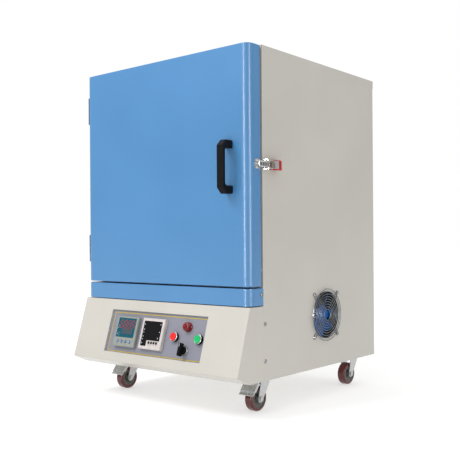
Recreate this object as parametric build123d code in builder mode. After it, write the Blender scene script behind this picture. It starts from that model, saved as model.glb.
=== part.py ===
from build123d import *

import os
from math import atan2, cos, sin

# Muffle furnace: a steel cabinet on four castors, with a side-hung door, a sloping control
# console in front, a refractory chamber and a cooling fan in its right side.
# Millimetres, +Z up, X to the right, -Y to the front, floor at Z = 0 under the middle.

# Driving sizes of the cabinet
WIDTH = 700.0
DEPTH = 645.0
BODY_HEIGHT = 960.0
LIFT = 102.0
SHEET = 2.0
FOLD_RADIUS = 2.5
RETURN_WIDTH = 25.0
SEAM_Y = -274.0

# Faces that follow from the driving sizes
HALF = WIDTH / 2
INNER = HALF - SHEET
BOTTOM_Z = LIFT
TOP_Z = LIFT + BODY_HEIGHT
REAR_Y = SEAM_Y + DEPTH
RETURN_Y = REAR_Y - SHEET
MID_Y = (SEAM_Y + REAR_Y) / 2

# Blue front: door and fixed band
FRONT_Y = SEAM_Y - 63.0
DOOR_HALF = 348.7
DOOR_REAR_Y = SEAM_Y - 9.0
DOOR_BOTTOM_Z = BOTTOM_Z + 271.0
DOOR_TOP_Z = BOTTOM_Z + 958.0
DOOR_CORNER = 26.0
DOOR_EDGE = 2.5
BAND_TOP_Z = BOTTOM_Z + 266.0
BAND_LOW_Z = BOTTOM_Z + 216.5

# Console section, from its rear top edge round the nose to the cabinet floor
CONSOLE_TOP_Z = BOTTOM_Z + 214.0
NOSE_Y = SEAM_Y - 122.0
NOSE_Z = BOTTOM_Z + 24.0
UNDERSIDE_Y = SEAM_Y - 68.0
SLOPE_RUN = FRONT_Y - NOSE_Y
SLOPE_DROP = CONSOLE_TOP_Z - NOSE_Z
SLOPE = atan2(SLOPE_RUN, SLOPE_DROP)
FACE = Plane(
    origin=(0, FRONT_Y, CONSOLE_TOP_Z),
    x_dir=(1, 0, 0),
    z_dir=(0, -cos(SLOPE), sin(SLOPE)),
)

# Recess in the console face: middle across, middle down the slope, width, height, depth
RECESS_X = -2.5
RECESS_DOWN = 101.5
RECESS_WIDTH = 413.0
RECESS_HEIGHT = 136.0
RECESS_DEPTH = 6.0
PLATE_MARGIN = 16.0
PLATE_FACE = FACE.offset(-RECESS_DEPTH)

# Instruments on the control plate, across and down the slope
CONTROLLER_SIZE = 96.0
CONTROLLER_BODY = 91.0
CONTROLLER_DEPTH = 80.0
BEZEL_HEIGHT = 12.0
CONTROLLER_AT = (-122.0, -102.0)
METER_AT = (-6.0, -101.0)
LAMP_AT = (131.0, -69.0)
STOP_AT = (85.0, -102.0)
START_AT = (182.0, -102.0)
SELECTOR_AT = (131.0, -139.0)
SWITCH_HOLE = 22.4
COLLAR_RADIUS = 15.0
RUNNING_FIT = 0.1

# Refractory lining and chamber
CHAMBER_Z = BOTTOM_Z + 612.0
CHAMBER_HALF = 160.0
CHAMBER_DEPTH = 433.0
LINING = 100.0
ROOF_LINING = 80.0
BACKUP = 40.0
LINING_Y = SEAM_Y + SHEET
CASING_HALF = CHAMBER_HALF + LINING + BACKUP + SHEET
CASING_LOW = CHAMBER_Z - CHAMBER_HALF - ROOF_LINING - BACKUP - SHEET
CASING_HIGH = CHAMBER_Z + CHAMBER_HALF + ROOF_LINING + BACKUP + SHEET
CASING_REAR_Y = LINING_Y + CHAMBER_DEPTH + LINING + BACKUP + SHEET
MOUTH_DEPTH = 40.0
PLUG_TIP_HALF = 156.0
PLUG_TAPER = 0.3
PLUG_CLEARANCE = 4.0
FRONT_OPENING = 400.0
HEARTH_THICKNESS = 10.0

# Cooling fan in the right side
FAN_Y = SEAM_Y + 328.5
FAN_Z = BOTTOM_Z + 164.0
FAN_HOLE = 150.0
FAN_SCREW_SPACING = 134.0
FAN_FRAME = 160.0
FAN_DEPTH = 50.0
GUARD_RADIUS = 83.0
WIRE = 2.2

# Castors: swivel axes, trail of the wheel and wheel size
CASTER_X = 280.0
CASTER_FRONT_Y = SEAM_Y + 78.0
CASTER_REAR_Y = SEAM_Y + 596.0
WHEEL_RADIUS = 37.5
WHEEL_WIDTH = 28.0
TRAIL = 28.0
PLATE_THICKNESS = 3.0

# Hinge axis of the door and the two hinges on it
HINGE_X = -362.0
HINGE_Y = SEAM_Y - 3.0
HINGE_HEIGHTS = (BOTTOM_Z + 380.0, BOTTOM_Z + 844.0)
KNUCKLE_RADIUS = 8.0
KNUCKLE_HEIGHT = 38.0
HINGE_PIN_RADIUS = 4.0
LEAF = 3.0

# Toggle latch on the right side
LATCH_Z = BOTTOM_Z + 619.0
LATCH_PIVOT = (HALF + 12.0, SEAM_Y + 10.0)
LOOP_PIVOT = (HALF + 9.0, SEAM_Y + 22.0)
LOOP_BAR = (HALF + 11.0, SEAM_Y - 30.0)
LOOP_WIRE = 3.5
LOOP_HALF = 7.0

# Pan-head screws
SCREW_HEAD = 5.5
SCREW_HEAD_HEIGHT = 3.0
SCREW_SHANK = 2.5
SCREW_HOLE = 2.8
SEAT_FILM = 0.05

os.makedirs("parts", exist_ok=True)


def bar(x_range, y_range, z_range, mode=Mode.ADD):
    """Adds or cuts a rectangular bar between the given limits."""
    low = Vector(x_range[0], y_range[0], z_range[0])
    high = Vector(x_range[1], y_range[1], z_range[1])
    size = high - low
    with Locations((low + high) / 2):
        Box(size.X, size.Y, size.Z, mode=mode)


def across(x):
    """Plane facing +X at the given X, with Y to its right and Z up."""
    return Plane.YZ.offset(x)


def facing_front(y):
    """Plane facing -Y at the given Y, with X to its right and Z up."""
    return Plane.XZ.offset(-y)


def facing_rear(y):
    """Plane facing +Y at the given Y, with Z up."""
    return Plane(origin=(0, y, 0), x_dir=(-1, 0, 0), z_dir=(0, 1, 0))


def screw_at(plane, grip, head=SCREW_HEAD, height=SCREW_HEAD_HEIGHT, shank=SCREW_SHANK):
    """Pan-head screw whose head seats on the plane and whose shank runs into it."""
    with BuildPart() as screw:
        with BuildSketch(plane.offset(SEAT_FILM)):
            Circle(head)
        extrude(amount=height)
        top = screw.faces().sort_by(Axis(plane.origin, plane.z_dir))[-1]
        chamfer(top.edges(), height / 3)
        with BuildSketch(plane.offset(SEAT_FILM)):
            Circle(shank)
        extrude(amount=-(grip + SEAT_FILM))
    return screw.part


# Points where screws go through the side panels, as Y and Z
SEAM_SCREWS = [(SEAM_Y + 6.0, BOTTOM_Z + 57.0), (SEAM_Y + 6.0, BOTTOM_Z + 162.7)]
BAND_SCREW = (SEAM_Y - 7.0, BOTTOM_Z + 247.0)
FAN_SCREWS = [
    (FAN_Y + sy * FAN_SCREW_SPACING / 2, FAN_Z + sz * FAN_SCREW_SPACING / 2)
    for sy in (-1, 1)
    for sz in (-1, 1)
]

CABINET_HINGE_SCREWS = [(SEAM_Y + 32.0, z + rise) for z in HINGE_HEIGHTS for rise in (-28.0, 28.0)]
DOOR_HINGE_SCREWS = [(SEAM_Y - 36.0, z + rise) for z in HINGE_HEIGHTS for rise in (-28.0, 28.0)]
LATCH_SCREWS = [(SEAM_Y + 8.0, LATCH_Z), (SEAM_Y + 31.0, LATCH_Z)]
KEEPER_SCREWS = [(SEAM_Y - 27.0, LATCH_Z + rise) for rise in (-10.0, 10.0)]
KEEPER_SCREW = (2.9, 2.0, 1.5)

# Base pan: a shallow tray with slots that let cooling air in
PAN_FLANGE = 30.0
PAN_DEPTH = RETURN_Y - SHEET - SEAM_Y
PAN_MID_Y = SEAM_Y + PAN_DEPTH / 2
CASTER_BOLTS = (45.0, 57.0)
BOLT_HOLE = 4.4
VENT_SLOT = (8.0, 60.0)
CASTER_SPOTS = {
    "front_left": (-CASTER_X, CASTER_FRONT_Y),
    "front_right": (CASTER_X, CASTER_FRONT_Y),
    "rear_left": (-CASTER_X, CASTER_REAR_Y),
    "rear_right": (CASTER_X, CASTER_REAR_Y),
}
with BuildPart() as base_pan:
    with BuildSketch(Plane.XY.offset(BOTTOM_Z)):
        with Locations((0, PAN_MID_Y)):
            Rectangle(2 * INNER, PAN_DEPTH)
    extrude(amount=PAN_FLANGE)
    offset(amount=-SHEET, openings=base_pan.faces().sort_by(Axis.Z)[-1])
    with BuildSketch(Plane.XY.offset(BOTTOM_Z)):
        with Locations((0, PAN_MID_Y)):
            with GridLocations(80, 220, 5, 2):
                Rectangle(*VENT_SLOT)
        with Locations(*CASTER_SPOTS.values()):
            with GridLocations(*CASTER_BOLTS, 2, 2):
                RegularPolygon(BOLT_HOLE, 12)
    extrude(amount=SHEET, mode=Mode.SUBTRACT)
base_pan.part.label = "base_pan"
export_step(base_pan.part, "parts/base_pan.step")

# Support frame: four angle-iron posts joined by rails that carry the inner casing
ANGLE = 30.0
ANGLE_WEB = 3.0
POST_X = INNER - SHEET
POST_FRONT_Y = SEAM_Y + 40.0
POST_REAR_Y = RETURN_Y - 2 * SHEET
POST_TOP_Z = TOP_Z - 2 * SHEET


def angle_section(x, y, x_way, y_way):
    """Draws an L section with its outer corner at the point, its legs along the ways."""
    corners = [
        (0, 0),
        (ANGLE, 0),
        (ANGLE, ANGLE_WEB),
        (ANGLE_WEB, ANGLE_WEB),
        (ANGLE_WEB, ANGLE),
        (0, ANGLE),
    ]
    Polygon(*[(x + x_way * u, y + y_way * v) for u, v in corners], align=None)


with BuildPart() as support_frame:
    with BuildSketch(Plane.XY.offset(BOTTOM_Z + SHEET)):
        for side in (-1, 1):
            angle_section(side * POST_X, POST_FRONT_Y, -side, 1)
            angle_section(side * POST_X, POST_REAR_Y, -side, -1)
    extrude(amount=POST_TOP_Z - BOTTOM_Z - SHEET)
    with BuildSketch(facing_front(POST_FRONT_Y)):
        for side in (-1, 1):
            angle_section(side * POST_X, CASING_LOW, -side, -1)
    extrude(amount=-(POST_REAR_Y - POST_FRONT_Y))
    with BuildSketch(across(-POST_X)):
        angle_section(POST_FRONT_Y, CASING_LOW, 1, -1)
        angle_section(MID_Y, CASING_LOW, 1, -1)
        angle_section(POST_REAR_Y, CASING_LOW, -1, -1)
    extrude(amount=2 * POST_X)
support_frame.part.label = "support_frame"
export_step(support_frame.part, "parts/support_frame.step")


# Louvres: pressed hoods that open downwards, in rows on the left side and the rear
LOUVRE_LENGTH = 90.0
LOUVRE_RISE = 9.0
LOUVRE_REACH = 6.0
LOUVRE_WALL = 1.2
LOUVRE_OUTLINE = [
    (-LOUVRE_WALL, -LOUVRE_WALL),
    (LOUVRE_RISE, -LOUVRE_WALL),
    (LOUVRE_RISE, 0.0),
    (0.72 * LOUVRE_RISE, 0.7 * LOUVRE_REACH),
    (0.0, LOUVRE_REACH),
    (-LOUVRE_WALL, LOUVRE_REACH),
]


def louvre_hood():
    """One hood on the XY plane, its lip towards -Y and its bulge towards +Z."""
    with BuildPart() as hood:
        with BuildSketch(Plane.YZ.offset(-LOUVRE_LENGTH / 2)):
            Polygon(*LOUVRE_OUTLINE, align=None)
        extrude(amount=LOUVRE_LENGTH)
        hollow_length = LOUVRE_LENGTH - 2 * LOUVRE_WALL
        with BuildSketch(Plane.YZ.offset(-hollow_length / 2)):
            with Locations((-LOUVRE_WALL, -LOUVRE_WALL)):
                Polygon(*LOUVRE_OUTLINE, align=None)
        extrude(amount=hollow_length, mode=Mode.SUBTRACT)
    return hood.part


HOOD = louvre_hood()
LOUVRE_COLUMN = 120.0
LOUVRE_ROW = 24.0


def louvre_block(plane, columns, rows):
    """Cuts the slots and adds the hoods of a block of louvres centred on the plane."""
    slot_length = LOUVRE_LENGTH - 2 * LOUVRE_WALL
    slot_height = LOUVRE_RISE - 2 * LOUVRE_WALL
    with Locations(plane.location):
        with GridLocations(LOUVRE_COLUMN, LOUVRE_ROW, columns, rows):
            with Locations((0, LOUVRE_RISE / 2, -SHEET / 2)):
                Box(slot_length, slot_height, SHEET, mode=Mode.SUBTRACT)
            add(HOOD)


# Side panels: folded channels with returns at the front, the rear and the top
BAND_TAB_Z = (BOTTOM_Z + 238.0, BOTTOM_Z + 256.0)
BAND_TAB_Y = SEAM_Y - 14.0
PLUNGER_Z = BOTTOM_Z + 317.0
PLUNGER_X = HALF - 9.0
PLUNGER_RADIUS = 3.0


def side_panel(side):
    """The panel that both sides share; side is 1 on the right and -1 on the left."""
    outer = side * HALF
    inner = side * INNER
    with BuildPart() as panel:
        with BuildSketch(Plane.XY.offset(BOTTOM_Z)):
            with Locations((side * (HALF - RETURN_WIDTH / 2), (SEAM_Y + RETURN_Y) / 2)):
                Rectangle(RETURN_WIDTH, RETURN_Y - SEAM_Y)
            with Locations((side * (INNER - RETURN_WIDTH / 2), (SEAM_Y + RETURN_Y) / 2)):
                Rectangle(RETURN_WIDTH, RETURN_Y - SEAM_Y - 2 * SHEET, mode=Mode.SUBTRACT)
        extrude(amount=BODY_HEIGHT - SHEET)
        folds = panel.edges().filter_by(Axis.Z).filter_by_position(Axis.X, outer, outer)
        fillet(folds, FOLD_RADIUS)
        fold = sorted((side * (HALF - RETURN_WIDTH), inner))
        bar(fold, (SEAM_Y, SEAM_Y + SHEET), (BOTTOM_Z, CONSOLE_TOP_Z), Mode.SUBTRACT)
        bar(fold, (LINING_Y, RETURN_Y - SHEET), (POST_TOP_Z, TOP_Z - SHEET))
        tab = sorted((side * (DOOR_HALF - 2 * SHEET), side * (DOOR_HALF - SHEET)))
        bar(tab, (BAND_TAB_Y, SEAM_Y), BAND_TAB_Z)
        with BuildSketch(across(side * HALF)):
            with Locations(*SEAM_SCREWS, BAND_SCREW):
                Circle(SCREW_HOLE)
        extrude(amount=-side * 3 * SHEET, mode=Mode.SUBTRACT)
    return panel.part


with BuildPart() as side_panel_right:
    add(side_panel(1))
    with BuildSketch(across(HALF)):
        with Locations((FAN_Y, FAN_Z)):
            Circle(FAN_HOLE / 2)
        with Locations(*FAN_SCREWS, *LATCH_SCREWS):
            Circle(SCREW_HOLE)
    extrude(amount=-SHEET, mode=Mode.SUBTRACT)
    with BuildSketch(facing_front(SEAM_Y)):
        with Locations((PLUNGER_X, PLUNGER_Z)):
            Circle(PLUNGER_RADIUS + RUNNING_FIT)
    extrude(amount=-SHEET, mode=Mode.SUBTRACT)
side_panel_right.part.label = "side_panel_right"
export_step(side_panel_right.part, "parts/side_panel_right.step")

LEFT_LOUVRES = Plane(origin=(-HALF, FAN_Y, FAN_Z), x_dir=(0, -1, 0), z_dir=(-1, 0, 0))
with BuildPart() as side_panel_left:
    add(side_panel(-1))
    louvre_block(LEFT_LOUVRES, 2, 6)
    with BuildSketch(across(-HALF)):
        with Locations(*CABINET_HINGE_SCREWS):
            Circle(SCREW_HOLE)
    extrude(amount=SHEET, mode=Mode.SUBTRACT)
side_panel_left.part.label = "side_panel_left"
export_step(side_panel_left.part, "parts/side_panel_left.step")

# Top cover: a flat sheet with a front lip over the door gap and a rear fold
LIP_Y = SEAM_Y - 5.0
LIP_Z = TOP_Z - 13.0
REAR_FOLD_Z = TOP_Z - 27.0
with BuildPart() as top_cover:
    with BuildSketch(across(-HALF)):
        with BuildLine():
            Polyline((LIP_Y, LIP_Z), (LIP_Y, TOP_Z), (REAR_Y, TOP_Z), (REAR_Y, REAR_FOLD_Z))
            offset(amount=SHEET, side=Side.RIGHT)
        make_face()
    extrude(amount=WIDTH)
    rims = top_cover.faces().sort_by(Axis.Z)[-1].edges().filter_by(Axis.X)
    fillet(rims, FOLD_RADIUS)
top_cover.part.label = "top_cover"
export_step(top_cover.part, "parts/top_cover.step")

# Rear panel: a removable sheet with two blocks of louvres and the hole of the mains gland
GLAND_AT = (240.0, BOTTOM_Z + 70.0)
GLAND_HOLE = 10.2
REAR_TOP_Z = REAR_FOLD_Z - 1.0
REAR_LOUVRE_HEIGHTS = (BOTTOM_Z + 190.0, BOTTOM_Z + 780.0)
REAR_SCREWS = [
    (x, z)
    for x in (-HALF + 13.0, HALF - 13.0)
    for z in (BOTTOM_Z + 40.0, BOTTOM_Z + 330.0, BOTTOM_Z + 620.0, BOTTOM_Z + 910.0)
]
with BuildPart() as rear_panel:
    with BuildSketch(facing_rear(RETURN_Y)):
        with Locations((0, (BOTTOM_Z + REAR_TOP_Z) / 2)):
            Rectangle(WIDTH - 2.0, REAR_TOP_Z - BOTTOM_Z)
        with Locations(GLAND_AT):
            Circle(GLAND_HOLE, mode=Mode.SUBTRACT)
        with Locations(*REAR_SCREWS):
            Circle(SCREW_HOLE, mode=Mode.SUBTRACT)
    extrude(amount=SHEET)
    for height in REAR_LOUVRE_HEIGHTS:
        louvre_block(Plane(origin=(0, REAR_Y, height), x_dir=(-1, 0, 0), z_dir=(0, 1, 0)), 3, 5)
rear_panel.part.label = "rear_panel"
export_step(rear_panel.part, "parts/rear_panel.step")

# Front frame: the plate round the chamber mouth, its foot behind the top of the console
FRAME_FOOT_Z = CONSOLE_TOP_Z - 16.0
FRAME_HEAD_Z = TOP_Z - SHEET
with BuildPart() as front_frame:
    with BuildSketch(facing_front(SEAM_Y)):
        with Locations((0, (FRAME_FOOT_Z + FRAME_HEAD_Z) / 2)):
            Rectangle(2 * (HALF - RETURN_WIDTH), FRAME_HEAD_Z - FRAME_FOOT_Z)
        with Locations((0, CHAMBER_Z)):
            RectangleRounded(FRONT_OPENING, FRONT_OPENING, 12.0, mode=Mode.SUBTRACT)
    extrude(amount=-SHEET)
front_frame.part.label = "front_frame"
export_step(front_frame.part, "parts/front_frame.step")

# Fixed blue band under the door, open at the rear
with BuildPart() as lower_front_panel:
    with BuildSketch(Plane.XY.offset(BAND_LOW_Z)):
        with Locations((0, (FRONT_Y + SEAM_Y) / 2)):
            Rectangle(2 * DOOR_HALF, SEAM_Y - FRONT_Y)
        fillet(vertices().group_by(Axis.Y)[0], DOOR_CORNER)
    extrude(amount=BAND_TOP_Z - BAND_LOW_Z)
    fillet(lower_front_panel.faces().sort_by(Axis.Z)[-1].edges().filter_by_position(
        Axis.Y, FRONT_Y, SEAM_Y - 1.0), DOOR_EDGE)
    offset(amount=-SHEET, openings=lower_front_panel.faces().sort_by(Axis.Y)[-1])
    with BuildSketch(across(-DOOR_HALF)):
        with Locations(BAND_SCREW):
            Circle(SCREW_HOLE)
    extrude(amount=2 * DOOR_HALF, mode=Mode.SUBTRACT)
lower_front_panel.part.label = "lower_front_panel"
export_step(lower_front_panel.part, "parts/lower_front_panel.step")

# Console shell: the sloping nose section, open to the cabinet behind it
CONSOLE_SECTION = [
    (SEAM_Y, CONSOLE_TOP_Z),
    (FRONT_Y, CONSOLE_TOP_Z),
    (NOSE_Y, NOSE_Z),
    (UNDERSIDE_Y, BOTTOM_Z),
    (SEAM_Y, BOTTOM_Z),
]
TAB_REACH = 15.0
TAB_Z = (BOTTOM_Z + PAN_FLANGE + 8.0, FRAME_FOOT_Z)
with BuildPart() as console_shell:
    with BuildSketch(across(-HALF)):
        Polygon(*CONSOLE_SECTION, align=None)
    extrude(amount=WIDTH)
    folds = console_shell.edges().filter_by(Axis.X).filter_by_position(Axis.Y, NOSE_Y, UNDERSIDE_Y)
    fillet(folds, FOLD_RADIUS)
    offset(amount=-SHEET, openings=console_shell.faces().sort_by(Axis.Y)[-1])
    with BuildSketch(FACE):
        with Locations((RECESS_X, -RECESS_DOWN)):
            Rectangle(RECESS_WIDTH, RECESS_HEIGHT)
    extrude(amount=-RECESS_DEPTH, mode=Mode.SUBTRACT)
    with BuildSketch(FACE.offset(-SHEET)):
        with Locations((RECESS_X, -RECESS_DOWN)):
            Rectangle(RECESS_WIDTH + 2 * SHEET, RECESS_HEIGHT + 2 * SHEET)
            Rectangle(RECESS_WIDTH, RECESS_HEIGHT, mode=Mode.SUBTRACT)
    extrude(amount=SHEET - RECESS_DEPTH)
    bar((-INNER, INNER), (SEAM_Y - SHEET, SEAM_Y), (BOTTOM_Z + SHEET, BOTTOM_Z + PAN_FLANGE))
    for side in (-1, 1):
        tab = sorted((side * INNER, side * (INNER - SHEET)))
        bar(tab, (SEAM_Y - TAB_REACH, SEAM_Y + TAB_REACH), TAB_Z)
        with BuildSketch(across(side * INNER)):
            with Locations(*SEAM_SCREWS):
                Circle(SCREW_HOLE)
        extrude(amount=-side * SHEET, mode=Mode.SUBTRACT)
console_shell.part.label = "console_shell"
export_step(console_shell.part, "parts/console_shell.step")

# Control plate behind the recess, with cut-outs for the instruments
CUTOUT = 92.0
with BuildPart() as control_plate:
    with BuildSketch(PLATE_FACE):
        with Locations((RECESS_X, -RECESS_DOWN)):
            Rectangle(RECESS_WIDTH + 2 * PLATE_MARGIN, RECESS_HEIGHT + 2 * PLATE_MARGIN)
        with Locations(CONTROLLER_AT, METER_AT):
            Rectangle(CUTOUT, CUTOUT, mode=Mode.SUBTRACT)
        with Locations(LAMP_AT, STOP_AT, START_AT, SELECTOR_AT):
            Circle(SWITCH_HOLE / 2, mode=Mode.SUBTRACT)
    extrude(amount=-SHEET)
control_plate.part.label = "control_plate"
export_step(control_plate.part, "parts/control_plate.step")

# Temperature controller: housing behind the plate, bezel in front, window above four keys
WINDOW = (80.0, 62.0)
WINDOW_RISE = 12.0
WINDOW_THICKNESS = 2.0
KEY_RADIUS = 4.5
KEY_PITCH = 18.0
KEY_DROP = 32.0
KEY_TRAVEL = 1.0
KEY_BORE_DEPTH = 6.0
KEY_PROUD = 1.6
KEY_CLEARANCE = 0.35
BEZEL_FACE = PLATE_FACE.offset(BEZEL_HEIGHT)
FACE_AXIS = Axis(FACE.origin, FACE.z_dir)
KEY_SPOTS = [
    (CONTROLLER_AT[0] + (column - 1.5) * KEY_PITCH, CONTROLLER_AT[1] - KEY_DROP)
    for column in range(4)
]


def instrument(spot):
    """Panel instrument: a deep housing with a bevelled square bezel on the control plate."""
    with BuildPart() as body:
        with BuildSketch(PLATE_FACE):
            with Locations(spot):
                RectangleRounded(CONTROLLER_SIZE, CONTROLLER_SIZE, 3.0)
        extrude(amount=BEZEL_HEIGHT)
        chamfer(body.faces().sort_by(FACE_AXIS)[-1].edges(), 2.0)
        with BuildSketch(PLATE_FACE):
            with Locations(spot):
                Rectangle(CONTROLLER_BODY, CONTROLLER_BODY)
        extrude(amount=-CONTROLLER_DEPTH)
    return body.part


WINDOW_AT = (CONTROLLER_AT[0], CONTROLLER_AT[1] + WINDOW_RISE)
with BuildPart() as temperature_controller:
    add(instrument(CONTROLLER_AT))
    with BuildSketch(BEZEL_FACE):
        with Locations(WINDOW_AT):
            RectangleRounded(*WINDOW, 2.0)
    extrude(amount=-WINDOW_THICKNESS, mode=Mode.SUBTRACT)
    with BuildSketch(BEZEL_FACE):
        with Locations(*KEY_SPOTS):
            Circle(KEY_RADIUS + KEY_CLEARANCE)
    extrude(amount=-KEY_BORE_DEPTH, mode=Mode.SUBTRACT)
temperature_controller.part.label = "temperature_controller"
export_step(temperature_controller.part, "parts/temperature_controller.step")

# Second instrument: a stepped window and four flat keys in the step
METER_WINDOW = 78.0
STEP_WIDTH = 54.0
STEP_HEIGHT = 18.0
STEP_CORNER = (METER_AT[0] + METER_WINDOW / 2, METER_AT[1] - METER_WINDOW / 2)


def stepped_window(thickness):
    """The window outline with its lower right corner left out, as a thin plate."""
    with BuildPart() as window:
        with BuildSketch(BEZEL_FACE):
            with Locations(METER_AT):
                RectangleRounded(METER_WINDOW, METER_WINDOW, 2.0)
            with Locations((STEP_CORNER[0] - STEP_WIDTH / 2, STEP_CORNER[1] + STEP_HEIGHT / 2)):
                Rectangle(STEP_WIDTH, STEP_HEIGHT, mode=Mode.SUBTRACT)
        extrude(amount=-thickness)
    return window.part


with BuildPart() as overtemperature_controller:
    add(instrument(METER_AT))
    add(stepped_window(WINDOW_THICKNESS), mode=Mode.SUBTRACT)
overtemperature_controller.part.label = "overtemperature_controller"
export_step(overtemperature_controller.part, "parts/overtemperature_controller.step")

# Windows of both instruments, seated in the pockets of the bezels
with BuildPart() as controller_windows:
    with BuildSketch(BEZEL_FACE):
        with Locations(WINDOW_AT):
            RectangleRounded(*WINDOW, 2.0)
    extrude(amount=-WINDOW_THICKNESS)
    add(stepped_window(WINDOW_THICKNESS))
controller_windows.part.label = "controller_windows"
export_step(controller_windows.part, "parts/controller_windows.step")

# Four round keys of the temperature controller
for number, spot in enumerate(KEY_SPOTS, start=1):
    with BuildPart() as key:
        with BuildSketch(BEZEL_FACE.offset(KEY_PROUD)):
            with Locations(spot):
                Circle(KEY_RADIUS)
        extrude(amount=-(KEY_PROUD + KEY_BORE_DEPTH - KEY_TRAVEL - KEY_CLEARANCE))
        fillet(key.faces().sort_by(FACE_AXIS)[-1].edges(), 1.0)
    key.part.label = f"controller_key_{number}"
    export_step(key.part, f"parts/controller_key_{number}.step")

# Pilot lamp: collar on the plate and a stepped lens
LAMP_COLLAR_HEIGHT = 4.0
LENS_HEIGHT = 17.0
BARREL_DEPTH = 42.0
NUT_RADIUS = 14.0
NUT_HEIGHT = 5.0


def switch_plane(spot):
    """Plane on the control plate with its origin at a switch hole."""
    return Plane(origin=PLATE_FACE.from_local_coords((*spot, 0)), x_dir=FACE.x_dir, z_dir=FACE.z_dir)


LAMP_PLANE = switch_plane(LAMP_AT)
with BuildPart(LAMP_PLANE) as indicator_lamp:
    with BuildSketch(LAMP_PLANE):
        Circle(COLLAR_RADIUS)
    extrude(amount=LAMP_COLLAR_HEIGHT)
    with BuildSketch(LAMP_PLANE.offset(LAMP_COLLAR_HEIGHT)):
        RegularPolygon(COLLAR_RADIUS - 1.0, 16)
    extrude(amount=LENS_HEIGHT - LAMP_COLLAR_HEIGHT)
    chamfer(indicator_lamp.faces().sort_by(FACE_AXIS)[-1].edges(), 4.0)
    with BuildSketch(LAMP_PLANE):
        Circle(SWITCH_HOLE / 2 - 0.2)
    extrude(amount=-BARREL_DEPTH)
    with BuildSketch(LAMP_PLANE.offset(-SHEET)):
        RegularPolygon(NUT_RADIUS, 6)
    extrude(amount=-NUT_HEIGHT)
indicator_lamp.part.label = "indicator_lamp"
export_step(indicator_lamp.part, "parts/indicator_lamp.step")

# Collars of both push buttons and the bezel of the selector
COLLAR_HEIGHT = 10.5
CAP_RADIUS = 12.0
CAP_CLEARANCE = 0.35
CAP_FLOOR = 0.5
BARREL_RADIUS = SWITCH_HOLE / 2 - 0.2
SELECTOR_BEZEL_HEIGHT = 5.0
SELECTOR_STEM = 5.0
with BuildPart() as switch_collars:
    for spot in (STOP_AT, START_AT, SELECTOR_AT):
        plane = switch_plane(spot)
        height = SELECTOR_BEZEL_HEIGHT if spot == SELECTOR_AT else COLLAR_HEIGHT
        bore = SELECTOR_STEM + RUNNING_FIT if spot == SELECTOR_AT else CAP_RADIUS + CAP_CLEARANCE
        with BuildSketch(plane):
            Circle(COLLAR_RADIUS)
        extrude(amount=height)
        with BuildSketch(plane):
            Circle(BARREL_RADIUS)
        extrude(amount=-BARREL_DEPTH)
        with BuildSketch(plane.offset(-SHEET)):
            RegularPolygon(NUT_RADIUS, 6)
        extrude(amount=-NUT_HEIGHT)
        with BuildSketch(plane.offset(height)):
            Circle(bore)
        extrude(amount=CAP_FLOOR - height, mode=Mode.SUBTRACT)
switch_collars.part.label = "switch_collars"
export_step(switch_collars.part, "parts/switch_collars.step")

# Push-button caps, which sink into their collars
CAP_PROUD = 2.0
CAP_TRAVEL = 4.0
CAP_SKIRT = CAP_PROUD + COLLAR_HEIGHT - CAP_FLOOR - CAP_TRAVEL - 0.5
for label, spot in (("stop_button", STOP_AT), ("start_button", START_AT)):
    with BuildPart() as cap:
        with BuildSketch(switch_plane(spot).offset(COLLAR_HEIGHT + CAP_PROUD)):
            Circle(CAP_RADIUS)
        extrude(amount=-CAP_SKIRT)
        fillet(cap.faces().sort_by(FACE_AXIS)[-1].edges(), 1.2)
    cap.part.label = label
    export_step(cap.part, f"parts/{label}.step")

# Selector: a turning base with a long raised grip
GRIP_LENGTH = 40.0
GRIP_WIDTH = 9.0
GRIP_HEIGHT = 21.0
GRIP_BASE_HEIGHT = 6.0
GRIP_SHIFT = 0.5
SELECTOR_PLANE = switch_plane(SELECTOR_AT)
with BuildPart(SELECTOR_PLANE) as selector_knob:
    with BuildSketch(SELECTOR_PLANE.offset(SELECTOR_BEZEL_HEIGHT + 0.2)):
        Circle(CAP_RADIUS)
    extrude(amount=GRIP_BASE_HEIGHT)
    with BuildSketch(SELECTOR_PLANE.offset(SELECTOR_BEZEL_HEIGHT + 0.2)):
        with Locations((0, GRIP_SHIFT)):
            SlotOverall(GRIP_LENGTH, GRIP_WIDTH, rotation=90)
    extrude(amount=GRIP_HEIGHT)
    fillet(selector_knob.faces().sort_by(FACE_AXIS)[-1].edges(), 1.5)
    with BuildSketch(SELECTOR_PLANE.offset(SELECTOR_BEZEL_HEIGHT + 0.2)):
        Circle(SELECTOR_STEM)
    extrude(amount=-(SELECTOR_BEZEL_HEIGHT - CAP_FLOOR - 0.1))
selector_knob.part.label = "selector_knob"
export_step(selector_knob.part, "parts/selector_knob.step")

# Frustum of the chamber mouth, which widens towards the door
PLUG_ROOT_Y = DOOR_REAR_Y - SHEET
MOUTH_Y = SEAM_Y + MOUTH_DEPTH


def plug_half(y):
    """Half width of the door plug at the given Y."""
    return PLUG_TIP_HALF + (MOUTH_Y - y) * PLUG_TAPER


def frustum(near_y, near_half, far_y, far_half):
    """Square frustum on the chamber axis between two upright planes."""
    with BuildPart() as body:
        for y, half in ((near_y, near_half), (far_y, far_half)):
            with BuildSketch(facing_front(y)):
                with Locations((0, CHAMBER_Z)):
                    Rectangle(2 * half, 2 * half)
        loft()
    return body.part


MOUTH = frustum(LINING_Y, plug_half(LINING_Y) + PLUG_CLEARANCE, MOUTH_Y, CHAMBER_HALF)

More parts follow.
